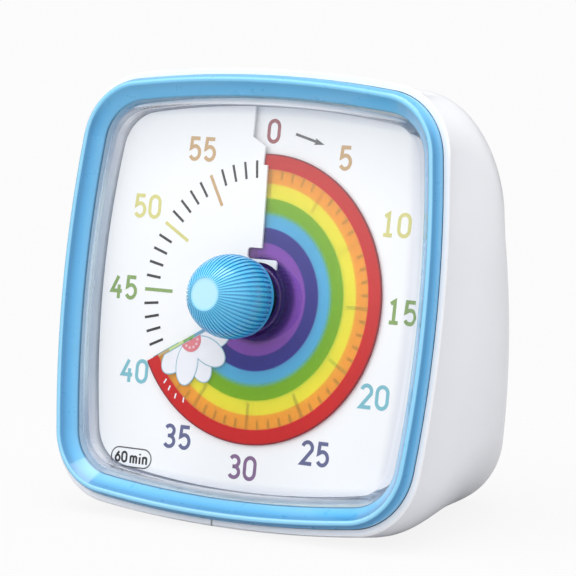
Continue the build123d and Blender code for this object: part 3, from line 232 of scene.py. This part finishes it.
def film_material():
    """Clear film with printed rings, partly see-through, so that the marks below show. The red is denser."""
    material = bpy.data.materials.new("film_print")
    shader = Shader(material)
    share_out = shader.math("DIVIDE", shader.dial()[3], FILM_RADIUS)
    stops = []
    for (inside, end, half), (outside, _, _) in zip(FILM_RINGS, FILM_RINGS[1:]):
        stops += [(end - half, inside), (end + half, outside)]
    colour = shader.ramp(share_out, stops)
    inputs = {"Base Color": shader.blotched(colour, 0.04), "Roughness": 0.45, "Specular IOR Level": 0.12}
    surface = shader.add("ShaderNodeBsdfPrincipled", inputs)
    bumps = {"Height": shader.noise(3.0), "Distance": 0.01 * MM, "Strength": 0.3}
    shader.feed(surface.inputs["Normal"], shader.add("ShaderNodeBump", bumps).outputs[0])
    thin_ink = shader.add("ShaderNodeGamma", {0: colour, 1: 0.5}).outputs[0]
    clear = shader.add("ShaderNodeBsdfTransparent", {0: thin_ink})
    clearness = shader.smooth(share_out, RED_START - 0.008, RED_START + 0.007, FILM_CLEARNESS, RED_CLEARNESS)
    shadow_ray = shader.add("ShaderNodeLightPath").outputs["Is Shadow Ray"]
    both = shader.between(shader.math("MAXIMUM", shadow_ray, clearness), surface, clear)
    shader.add("ShaderNodeOutputMaterial", {"Surface": both.outputs[0]})
    return material


def lens_material():
    """Clear plastic with a painted highlight line and painted shade along its edge, and pale frosted faces
    that stand in for light. Light that falls on the dial passes through it unbent.
    """
    material = bpy.data.materials.new("lens_clear")
    shader = Shader(material)
    x = shader.dial()[0]
    black, white, frosted = (0, 0, 0), (1, 1, 1), (0.4, 0.4, 0.4)
    # The pale wall tint at the outline stands in for light, the painted edge shade is shade along the
    # border, and the middle is near white
    pale_lit_wall, painted_edge_shade, middle = (0.88, 1.0, 1.0), (0.84, 0.845, 0.9), (0.985, 0.988, 1.0)

    # The depth is 0 just outside the lens's outline and 1 where its edge is over
    depth = shader.math("SUBTRACT", shader.inset(), LENS_INSET - 0.2)
    depth = shader.math("DIVIDE", depth, LENS_EDGE_WIDTH)
    tint = shader.ramp(depth, [(0.0, pale_lit_wall), (0.12, pale_lit_wall), (0.3, painted_edge_shade), (0.55, painted_edge_shade), (0.9, middle)])
    # A painted highlight line just inside the edge, painted darker on the left side as shade
    band = shader.ramp(depth, [(0.1, black), (0.16, white), (0.34, white), (0.46, black)])
    painted_left_shade = shader.smooth(x, -36.0, -30.0, 1.0, 0.0)
    edge_highlight_colour = shader.mix(painted_left_shade, srgb(238, 240, 246), srgb(204, 216, 230))

    # The edge is frosted, apart from its right side, and so are the faces that turn away from the front, so
    # that the painted light and shade show there
    polish = shader.ramp(depth, [(0.0, frosted), (0.34, frosted), (0.42, white)])
    geometry = shader.add("ShaderNodeNewGeometry").outputs
    directions = {0: geometry["Normal"], 1: INTO_DIAL}
    facing = shader.add("ShaderNodeVectorMath", directions, operation="DOT_PRODUCT").outputs["Value"]
    front = shader.smooth(shader.math("ABSOLUTE", facing), 0.2, 0.6, 0.4, 1.0)
    right_side = shader.smooth(x, 28.0, 33.0)
    clearness = shader.math("MAXIMUM", shader.math("MINIMUM", polish, front), right_side)

    inputs = {
        "Base Color": shader.mix(band, tint, edge_highlight_colour),
        "Roughness": shader.smooth(shader.noise(0.5), 0.3, 0.7, 0.0, 0.03),
        "IOR": 1.04,
        "Transmission Weight": clearness,
        "Coat Weight": shader.math("SUBTRACT", 1.0, geometry["Backfacing"]),
        "Coat IOR": 1.66,
        "Coat Roughness": 0.02,
    }
    surface = shader.add("ShaderNodeBsdfPrincipled", inputs)
    clear = shader.add("ShaderNodeBsdfTransparent", {0: (0.97, 0.975, 0.98, 1.0)})
    path = shader.add("ShaderNodeLightPath").outputs
    indirect = shader.math("MAXIMUM", path["Is Shadow Ray"], path["Is Diffuse Ray"])
    both = shader.between(indirect, surface, clear)
    shader.add("ShaderNodeOutputMaterial", {"Surface": both.outputs[0]})
    return material


def bezel_colours(shader):
    """Sky blue with painted light and shade: a crest highlight, shade lines, a lit wall and a lighter top.
    """
    _, up, out, _ = shader.dial()
    height = shader.math("SUBTRACT", out, BEZEL_LOW_OUT)
    height = shader.math("DIVIDE", height, BEZEL_HIGH_OUT - BEZEL_LOW_OUT)
    # Painted light and shade by height: the pale lower wall stands in for light, the dark line low on both
    # slopes (at the foot and at the inner edge) is painted shade, the deep line beside the crest is painted
    # shade, and the pale crest is a painted highlight
    pale_lit_wall, dark, deep, pale = srgb(176, 202, 224), srgb(52, 112, 150), srgb(66, 146, 198), srgb(140, 208, 242)
    stops = [(0.0, pale_lit_wall), (0.14, pale_lit_wall), (0.18, dark), (0.23, dark)]
    stops += [(0.29, srgb(116, 190, 236)), (0.45, srgb(106, 190, 238)), (0.65, srgb(86, 174, 228))]
    stops += [(0.84, deep), (0.945, deep), (0.98, pale), (1.0, pale)]
    # The top side faces down into shade and is painted lighter, as painted light
    top_painted_light = shader.smooth(up, 30.0, 37.0, 0.0, 0.55)
    return shader.mix(top_painted_light, shader.ramp(height, stops), srgb(118, 206, 252))


def knob_colours(shader):
    """Sky blue, with a painted highlight on the flat front and painted shade towards the base and in the
    grooves.
    """
    _, _, out, radius = shader.dial()
    # Painted shade low on the knob, turning to painted light towards the top
    knob_light_rise = shader.smooth(out, KNOB_SHADED_OUT, KNOB_TOP_OUT)
    body = shader.mix(knob_light_rise, srgb(56, 176, 230), srgb(106, 212, 250))
    near_top = shader.smooth(out, KNOB_TOP_OUT - 0.6, KNOB_TOP_OUT - 0.1)
    near_axis = shader.smooth(radius, KNOB_LIT_RADIUS + 0.6, KNOB_LIT_RADIUS - 0.6)
    # A painted highlight on the flat front, near the axis
    lit = shader.mix(shader.math("MULTIPLY", near_top, near_axis), body, srgb(184, 232, 246))
    # Painted shade in the grooves, where the surface is enclosed
    open_share = shader.add("ShaderNodeAmbientOcclusion", {"Distance": 0.5 * MM}, samples=8).outputs["AO"]
    return shader.mix(shader.smooth(open_share, 0.2, 0.8), srgb(54, 158, 218), lit)


def hub_colours(shader):
    """Black where it shows round the knob's stem, with the film's deep purple round it."""
    outside = shader.smooth(shader.dial()[3], HUB_BLACK_RADIUS, HUB_BLACK_RADIUS + 0.2)
    return shader.mix(outside, srgb(12, 12, 16), srgb(62, 32, 100))


def cell_colours(shader):
    """A dark sleeve with a copper-coloured band at the nub's end."""
    place = shader.add("ShaderNodeTexCoord").outputs["Object"]
    x = shader.add("ShaderNodeSeparateXYZ", {0: place}).outputs[0]
    banded = shader.smooth(x, CELL_SLEEVE_END * MM, (CELL_SLEEVE_END + 0.1) * MM)
    return shader.mix(banded, srgb(38, 42, 48), srgb(196, 150, 70))


# Each slot's colour, roughness, depth of grain in mm, grains to the millimetre, and colour variation
MATERIALS = {
    "case_white": moulded("case_white", srgb(243, 244, 248), 0.38, 0.012, 5.0, 0.015, coat=0.15),
    "bezel_blue": moulded("bezel_blue", bezel_colours, 0.3, 0.006, 4.0, 0.02, coat=0.8, paling=0.0),
    "lens_clear": lens_material(),
    "knob_blue": moulded("knob_blue", knob_colours, 0.25, 0.006, 4.0, 0.03, coat=0.5),
    "tray_white": moulded("tray_white", srgb(240, 240, 246), 0.5, 0.01, 6.0, 0.02, paling=0.0),
    "plate_white": moulded("plate_white", srgb(252, 252, 252), 0.45, 0.006, 8.0, 0.01, paling=0.0),
    "film_print": film_material(),
    "hub_black": moulded("hub_black", hub_colours, 0.25, 0.008, 5.0, 0.1, coat=0.3, paling=0.0),
    "movement_plastic": moulded("movement_plastic", srgb(222, 222, 212), 0.5, 0.02, 3.0, 0.05),
    "gear_plastic": moulded("gear_plastic", srgb(236, 230, 212), 0.4, 0.01, 6.0, 0.05),
    "steel": moulded("steel", srgb(190, 190, 196), 0.28, 0.01, 9.0, 0.08, metallic=1.0),
    "iron_laminate": moulded("iron_laminate", srgb(150, 150, 156), 0.4, 0.02, 4.0, 0.12, metallic=1.0),
    "magnet_dark": moulded("magnet_dark", srgb(58, 58, 62), 0.5, 0.02, 8.0, 0.1, metallic=0.6),
    "copper_wire": moulded("copper_wire", srgb(190, 104, 62), 0.3, 0.08, 2.5, 0.12, metallic=0.9),
    "spring_brass": moulded("spring_brass", srgb(214, 176, 104), 0.3, 0.01, 7.0, 0.1, metallic=1.0),
    "board_green": moulded("board_green", srgb(38, 112, 62), 0.35, 0.03, 1.5, 0.15, coat=0.3),
    "chip_black": moulded("chip_black", srgb(30, 30, 34), 0.55, 0.02, 10.0, 0.1),
    "can_metal": moulded("can_metal", srgb(205, 205, 210), 0.3, 0.01, 6.0, 0.06, metallic=1.0),
    "buzzer_black": moulded("buzzer_black", srgb(26, 26, 28), 0.5, 0.02, 6.0, 0.1),
    "cell_wrap": moulded("cell_wrap", cell_colours, 0.25, 0.008, 3.0, 0.05, coat=0.4),
    "switch_black": moulded("switch_black", srgb(30, 31, 34), 0.42, 0.015, 8.0, 0.1),
    "nickel": moulded("nickel", srgb(206, 204, 196), 0.2, 0.008, 7.0, 0.06, metallic=1.0),
}

for subpart in frame["record"]["subparts"]:
    node = frame["nodes"][subpart["node"]]
    for material_slot in node.material_slots:
        material_slot.material = MATERIALS[subpart["material_slot"]]


def ink(name, colour):
    return moulded(name, colour, 0.45, 0.004, 12.0, 0.06, paling=0.0)


# The numbers' inks, by the minutes to or past the full hour
NUMBER_INKS = {
    0: ink("ink_red", srgb(160, 84, 92)),
    5: ink("ink_orange", srgb(206, 168, 118)),
    10: ink("ink_yellow", srgb(224, 218, 132)),
    15: ink("ink_green", srgb(134, 168, 92)),
    20: ink("ink_cyan", srgb(126, 194, 208)),
    25: ink("ink_slate", srgb(96, 100, 142)),
    30: ink("ink_purple", srgb(132, 98, 140)),
}
INK_BLACK = ink("ink_black", srgb(26, 24, 28))
INK_GREY = ink("ink_grey", srgb(92, 92, 96))
INK_WHITE = ink("ink_white", srgb(243, 243, 248))
INK_OUTLINE = ink("ink_outline", srgb(146, 190, 206))
INK_PINK = ink("ink_pink", srgb(226, 122, 132))
INK_ROSE = ink("ink_rose", srgb(238, 190, 196))


# Printed shapes: loops of (x, up) points in mm


def ribbon(points, width, closed=False):
    """Four-cornered pieces along a line of points, mitred where it bends."""
    points = [Vector(point) for point in points]
    count = len(points)
    sides = []
    for index, point in enumerate(points):
        before = points[index - 1] if closed or index > 0 else None
        after = points[(index + 1) % count] if closed or index < count - 1 else None
        along_in = (point - before).normalized() if before else (after - point).normalized()
        along_out = (after - point).normalized() if after else along_in
        across = Vector((-(along_in + along_out).y, (along_in + along_out).x)).normalized()
        reach = width / 2 / max(across.dot(Vector((-along_in.y, along_in.x))), 0.4)
        sides.append((point + across * reach, point - across * reach))
    followers = sides[1:] + sides[:1] if closed else sides[1:]
    pieces = []
    for (left, right), (next_left, next_right) in zip(sides, followers):
        pieces.append([left, next_left, next_right, right])
    return pieces


def arc(x, up, half_width, half_height, start, end, steps=16):
    """Points on an ellipse between two angles in degrees."""
    turns = [math.radians(start + (end - start) * step / steps) for step in range(steps + 1)]
    return [(x + half_width * math.cos(turn), up + half_height * math.sin(turn)) for turn in turns]


def ellipse(x, up, half_width, half_height, steps=16):
    """Points round a whole ellipse, each once."""
    return arc(x, up, half_width, half_height, 0, 360, steps)[:-1]


def rectangle(left, right, low, high):
    return [(left, low), (right, low), (right, high), (left, high)]


def moved(loops, x=0.0, up=0.0, scale=1.0, turn=0.0):
    """Loops scaled, turned counter-clockwise by degrees and moved."""
    cos, sin = math.cos(math.radians(turn)) * scale, math.sin(math.radians(turn)) * scale

    def place(point):
        return Vector((x + point[0] * cos - point[1] * sin, up + point[0] * sin + point[1] * cos))

    return [[place(point) for point in loop] for loop in loops]


# Glyphs: lines of points, each open or closed, about 4 mm high and centred on 0
GLYPHS = {
    "0": [(arc(0, 0.79, 1.14, 1.2, 0, 180) + arc(0, -0.79, 1.14, 1.2, 180, 360), True)],
    "1": [([(-0.85, 1.42), (0.0, 1.95), (0.0, -1.9)], False), ([(-0.95, -1.99), (0.95, -1.99)], False)],
    "2": [(arc(0, 0.93, 1.06, 1.06, 165, -25) + [(-1.08, -1.99), (1.14, -1.99)], False)],
    "3": [
        (arc(-0.08, 1.02, 0.98, 0.97, 150, -90) + [(-0.45, 0.05)], False),
        ([(-0.45, 0.05)] + arc(-0.08, -0.97, 1.12, 1.02, 90, -150), False),
    ],
    "4": [([(0.28, 1.99), (-1.1, -0.85), (1.25, -0.85)], False), ([(0.55, 0.35), (0.55, -2.3)], False)],
    "5": [([(1.0, 1.99), (-0.8, 1.99), (-0.92, 0.12)] + arc(-0.02, -0.74, 1.12, 1.25, 130, -150), False)],
    "6": [
        (ellipse(0, -0.75, 1.1, 1.24), True),
        ([(0.62, 1.99), (-0.2, 1.0), (-0.85, 0.0), (-1.1, -0.7)], False),
    ],
    "m": [
        ([(-1.5, -2.3), (-1.5, 0.75)], False),
        (arc(-0.75, 0.0, 0.75, 0.6, 180, 0) + [(0.0, -2.3)], False),
        (arc(0.75, 0.0, 0.75, 0.6, 180, 0) + [(1.5, -2.3)], False),
    ],
    "i": [([(0, -2.3), (0, 0.6)], False), ([(0, 1.35), (0, 2.0)], False)],
    "n": [([(-0.9, -2.3), (-0.9, 0.75)], False), (arc(0, 0.0, 0.9, 0.6, 180, 0) + [(0.9, -2.3)], False)],
}
NUMBER_STROKE, NUMBER_ADVANCE = 0.72, 3.45


def lettering(text, x, up, scale=1.0, advance=NUMBER_ADVANCE, widths=None, stroke=NUMBER_STROKE):
    """The loops of a line of glyphs centred on a place. Glyphs in widths have an advance of their own."""
    steps = [(widths or {}).get(glyph, advance) * scale for glyph in text]
    left = x - sum(steps) / 2
    loops = []
    for glyph, step in zip(text, steps):
        for line, closed in GLYPHS.get(glyph, []):
            loops += moved(ribbon(line, stroke, closed), left + step / 2, up, scale)
        left += step
    return loops


# Printing: the plate and the film climb by one pitch in a turn, so the print does too

PRINT_LIFT = 0.03
PRINT_THICKNESS = PRINT_LIFT * 0.9


def clock_angle(x, up):
    """Degrees clockwise from 12 o'clock, from 0 to 360."""
    return math.degrees(math.atan2(x, up)) % 360


def plate_height(x, up):
    """The plate's upper face, which climbs clockwise from the slit."""
    return PLATE_TOP + FILM_PITCH * clock_angle(x, up) / 360


def start_height(x, up):
    """The plate's upper face where it begins, carried on to the left of the slit for what straddles it."""
    return PLATE_TOP + FILM_PITCH * math.degrees(math.atan2(x, up)) / 360


def film_height(x, up):
    """The film's upper face, which climbs from its trailing edge to its leading edge."""
    angle = clock_angle(x, up)
    return FILM_TOP + FILM_PITCH * (angle - 360 if angle > SHOWN_ANGLE else angle) / 360


def printed(name, loops, material, body, height, lift):
    """A very thin layer of ink over a surface of the dial."""
    form = bmesh.new()
    for loop in loops:
        corners = [form.verts.new(DIAL @ Vector((x, up, height(x, up) + lift))) for x, up in loop]
        form.faces.new(corners)
    bmesh.ops.recalc_face_normals(form, faces=form.faces)
    faces = [face for face in form.faces if face.normal.dot(INTO_DIAL) > 0]
    bmesh.ops.reverse_faces(form, faces=faces)
    mesh = bpy.data.meshes.new(name)
    form.to_mesh(mesh)
    form.free()
    piece = bpy.data.objects.new(name, mesh)
    bpy.context.scene.collection.objects.link(piece)
    thick = piece.modifiers.new("thickness", "SOLIDIFY")
    thick.thickness = PRINT_THICKNESS * MM
    thick.offset = -1
    mesh.materials.append(material)
    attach(piece, body)


def on_plate(name, loops, material, height=plate_height):
    printed(name, loops, material, "housing", height, PRINT_LIFT)


def on_film(name, loops, material, layer=1):
    printed(name, loops, material, "film", film_height, PRINT_LIFT * layer)


# Numbers, marks, arrow and the range label on the plate

MINUTE_ANGLE = 6
NUMBER_RADIUS = 31.7
NUMBER_SHIFTS = {0: -0.3, 5: 0.4, 10: 1.2, 35: 0.4, 40: 0.6, 45: 0.55, 50: 0.2, 55: 0.3}
MARK_INNER, MARK_OUTER, MINUTE_INNER = 19.6, 26.1, 22.8
MARK_WIDTH, MINUTE_WIDTH = 0.66, 0.5
ARROW_TAIL, ARROW_NECK, ARROW_WIDTH = (4.69, 31.38), (9.6, 30.12), 0.5
ARROW_HEAD = [(11.3, 29.68), (9.2, 30.86), (9.55, 30.13), (8.9, 29.6)]
LABEL_X, LABEL_UP, LABEL_HALF_WIDTH, LABEL_HALF_HEIGHT = -25.75, -32.5, 4.72, 1.8
LABEL_OUTLINE, LABEL_SCALE, LABEL_ADVANCE, LABEL_STROKE = 0.26, 0.46, 3.4, 0.92
LABEL_WIDTHS = {" ": 0.8, "m": 4.6, "i": 1.8, "n": 3.3}


def five_minute_print(minute):
    """The ink of a five-minute mark, and the surface that it lies on. The slit passes beside 0."""
    return NUMBER_INKS[min(minute, 60 - minute)], plate_height if minute else start_height


def tick(minute, inner, outer, width):
    """A straight mark that points to the dial's middle."""
    return moved([rectangle(-width / 2, width / 2, inner, outer)], turn=-MINUTE_ANGLE * minute)


for minute in range(0, 60, 5):
    turn = math.radians(minute * MINUTE_ANGLE)
    x = NUMBER_RADIUS * math.sin(turn) + NUMBER_SHIFTS.get(minute, 0.0)
    loops = lettering(str(minute), x, NUMBER_RADIUS * math.cos(turn))
    on_plate(f"number_{minute:02d}", loops, *five_minute_print(minute))

minute_ticks = []
for minute in range(60):
    if minute % 5:
        minute_ticks += tick(minute, MINUTE_INNER, MARK_OUTER, MINUTE_WIDTH)
on_plate("minute_marks", minute_ticks, INK_BLACK)
for minute in range(0, 60, 5):
    mark = tick(minute, MARK_INNER, MARK_OUTER, MARK_WIDTH)
    on_plate(f"mark_{minute:02d}", mark, *five_minute_print(minute))

on_plate("arrow", ribbon([ARROW_TAIL, ARROW_NECK], ARROW_WIDTH) + [ARROW_HEAD], INK_GREY)

straight = LABEL_HALF_WIDTH - LABEL_HALF_HEIGHT
pill = arc(straight, 0, LABEL_HALF_HEIGHT, LABEL_HALF_HEIGHT, -90, 90)
pill += arc(-straight, 0, LABEL_HALF_HEIGHT, LABEL_HALF_HEIGHT, 90, 270)
on_plate("label_outline", moved(ribbon(pill, LABEL_OUTLINE, True), LABEL_X, LABEL_UP), INK_GREY)
label = lettering("60 min", LABEL_X, LABEL_UP, LABEL_SCALE, LABEL_ADVANCE, LABEL_WIDTHS, LABEL_STROKE)
on_plate("label_text", label, INK_BLACK)


# Ornament on the film: half a flower along the leading edge, with small dashes round it

FLOWER_ALONG, FLOWER_INSIDE = 16.4, 0.75
PETALS, PETAL_MIDDLE, PETAL_HALF_WIDTH, PETAL_HALF_LENGTH, PETAL_OUTLINE = 5, 4.55, 2.35, 4.1, 0.2
HEART_RADIUS, HEART_LAYER = 2.3, 6
DOTS, DOT_RING, DOT_RADIUS, DOT_START, DOT_STEP = 5, 1.5, 0.28, 22, 34
DASH_PLACES = [(-19.04, -17.13), (-17.95, -18.37), (-16.38, -19.75), (-14.43, -20.33)]
DASH_HALF_LENGTH, DASH_WIDTH = 0.5, 0.3

# Narrow strips along the leading edge in darker, duller versions of the rings' colours, between two
# distances from the dial's middle
STRIP_NEAR, STRIP_FAR = 0.05, 0.5
EDGE_STRIPS = {
    "tan": (srgb(198, 168, 116), 22.0, 24.6),
    "lime": (srgb(204, 222, 148), 18.2, 21.9),
    "green": (srgb(120, 172, 96), 15.4, 18.1),
    "blue": (srgb(104, 160, 190), 12.0, 15.3),
}


def beside_edge(loops, along=FLOWER_ALONG, inside=FLOWER_INSIDE):
    """Loops given from a place beside the film's leading edge, along it and into the film, as (x, up)."""
    turn = math.radians(SHOWN_ANGLE)
    outward, inward = Vector((math.sin(turn), math.cos(turn))), Vector((-math.cos(turn), math.sin(turn)))
    return [[outward * (along + far) + inward * (inside + deep) for far, deep in loop] for loop in loops]


def petal(angle, grow=0.0):
    """One round-ended petal that starts at the flower's middle, cut along the flower's straight side."""
    loop = ellipse(0, PETAL_MIDDLE, PETAL_HALF_WIDTH + grow, PETAL_HALF_LENGTH + grow, steps=40)
    turned = moved([loop], turn=angle - 90)[0]
    return [Vector((x, max(up, -grow))) for x, up in turned]


for number in range(PETALS):
    angle = 180 * (number + 0.5) / PETALS
    layer = 1 + 2 * (number % 2)
    on_film(f"petal_edge_{number}", beside_edge([petal(angle, PETAL_OUTLINE)]), INK_OUTLINE, layer)
    on_film(f"petal_{number}", beside_edge([petal(angle)]), INK_WHITE, layer + 1)
heart = arc(0, 0, HEART_RADIUS, HEART_RADIUS, 0, 180, steps=24)
on_film("flower_heart", beside_edge([heart]), INK_PINK, HEART_LAYER)
dots = []
for number in range(DOTS):
    turn = math.radians(DOT_START + DOT_STEP * number)
    x, up = DOT_RING * math.cos(turn), DOT_RING * math.sin(turn)
    dots.append(ellipse(x, up, DOT_RADIUS, DOT_RADIUS, steps=10))
on_film("flower_dots", beside_edge(dots), INK_ROSE, HEART_LAYER + 1)

flower_middle = beside_edge([[(0.0, 0.0)]])[0][0]
dashes = []
for place in DASH_PLACES:
    reach = (Vector(place) - flower_middle).normalized() * DASH_HALF_LENGTH
    dashes += ribbon([Vector(place) - reach, Vector(place) + reach], DASH_WIDTH)
on_film("flower_dashes", dashes, INK_WHITE)

for name, (colour, inner, outer) in EDGE_STRIPS.items():
    strip = beside_edge([rectangle(inner, outer, STRIP_NEAR, STRIP_FAR)], 0.0, 0.0)
    on_film(f"edge_{name}", strip, ink(f"edge_strip_tone_{name}", colour))


# Light

ROOM_WHITE = (0.97, 0.97, 0.97, 1.0)
KEY_SIDE, KEY_FOCUS, KEY_STRENGTH = (-0.5, -0.72, 0.5), 3.0, 1.35
LAMP_PLACE, LAMP_WIDTH, LAMP_HEIGHT, LAMP_POWER = (0.0, -0.1, 0.9), 0.6, 0.4, 3.0


def light_room():
    """A white room, brightest at the upper left front, and dimmer where the lens's lower part mirrors it."""
    world = bpy.data.worlds.new("room")
    bpy.context.scene.world = world
    room = Shader(world)
    direction = room.add("ShaderNodeTexCoord").outputs["Generated"]
    east, _, height = room.add("ShaderNodeSeparateXYZ", {0: direction}).outputs

    aim = {0: direction, 1: Vector(KEY_SIDE).normalized()}
    nearness = room.add("ShaderNodeVectorMath", aim, operation="DOT_PRODUCT").outputs["Value"]
    key = room.math("POWER", room.math("MAXIMUM", nearness, 0.0), KEY_FOCUS)
    key = room.math("MULTIPLY", key, KEY_STRENGTH)
    fill = room.smooth(east, -0.3, 0.5, 0.38, 0.78)
    low_dimming = room.smooth(height, 0.09, 0.21, 0.16, 1.0)
    dimming = room.math("MAXIMUM", low_dimming, room.smooth(east, -0.2, 0.3))
    brightening = room.smooth(height, -0.2, 0.9, 1.11, 1.31)
    strength = room.math("MULTIPLY", room.math("ADD", key, fill), dimming)
    strength = room.math("MULTIPLY", strength, brightening)
    tint = room.mix(room.smooth(east, 0.0, 0.9), (1.0, 0.995, 0.985, 1.0), (0.975, 0.985, 1.0, 1.0))

    lit = room.add("ShaderNodeBackground", {"Color": tint, "Strength": strength})
    backdrop = room.add("ShaderNodeBackground", {"Color": ROOM_WHITE, "Strength": 1.0})
    path = room.add("ShaderNodeLightPath").outputs
    seen = room.math("MAXIMUM", path["Is Camera Ray"], path["Is Transmission Ray"])
    both = room.between(seen, lit, backdrop)
    room.add("ShaderNodeOutputWorld", {"Surface": both.outputs[0]})


def light_from_above():
    """A soft rectangular lamp that points at the dial."""
    data = bpy.data.lights.new("top", "AREA")
    data.shape = "RECTANGLE"
    data.size, data.size_y = LAMP_WIDTH, LAMP_HEIGHT
    data.energy = LAMP_POWER
    lamp = bpy.data.objects.new("top", data)
    lamp.location = LAMP_PLACE
    lamp.rotation_euler = (DIAL_CENTRE - Vector(LAMP_PLACE)).to_track_quat("-Z", "Y").to_euler()
    bpy.context.scene.collection.objects.link(lamp)


light_room()
light_from_above()


# Floor

FLOOR_RADIUS = 0.7
FLOOR_COLOUR = (0.5, 0.5, 0.51, 1.0)
FLOOR_GLOW, FLOOR_GLOW_SHARE = 1.06, 0.85
FLOOR_FADE_START, FLOOR_FADE_END = 0.07, 0.2


def floor():
    """A pale floor with the object's soft shadow. Further out, the camera sees the white room instead."""
    form = bmesh.new()
    bmesh.ops.create_circle(form, cap_ends=True, segments=64, radius=FLOOR_RADIUS)
    mesh = bpy.data.meshes.new("floor")
    form.to_mesh(mesh)
    form.free()
    material = bpy.data.materials.new("floor")
    shader = Shader(material)
    place = shader.add("ShaderNodeTexCoord").outputs["Object"]
    distance = shader.add("ShaderNodeVectorMath", {0: place}, operation="LENGTH").outputs["Value"]
    camera_ray = shader.add("ShaderNodeLightPath").outputs["Is Camera Ray"]
    matt = shader.add("ShaderNodeBsdfDiffuse", {"Color": FLOOR_COLOUR})
    glow = shader.add("ShaderNodeEmission", {"Color": ROOM_WHITE, "Strength": FLOOR_GLOW})
    near = shader.between(shader.math("MULTIPLY", camera_ray, FLOOR_GLOW_SHARE), matt, glow)
    clear = shader.add("ShaderNodeBsdfTransparent")
    fade = shader.smooth(distance, FLOOR_FADE_START, FLOOR_FADE_END)
    both = shader.between(shader.math("MULTIPLY", camera_ray, fade), near, clear)
    shader.add("ShaderNodeOutputMaterial", {"Surface": both.outputs[0]})
    mesh.materials.append(material)
    plane = bpy.data.objects.new("floor", mesh)
    bpy.context.scene.collection.objects.link(plane)


floor()

bpy.context.scene.view_settings.view_transform = "Standard"
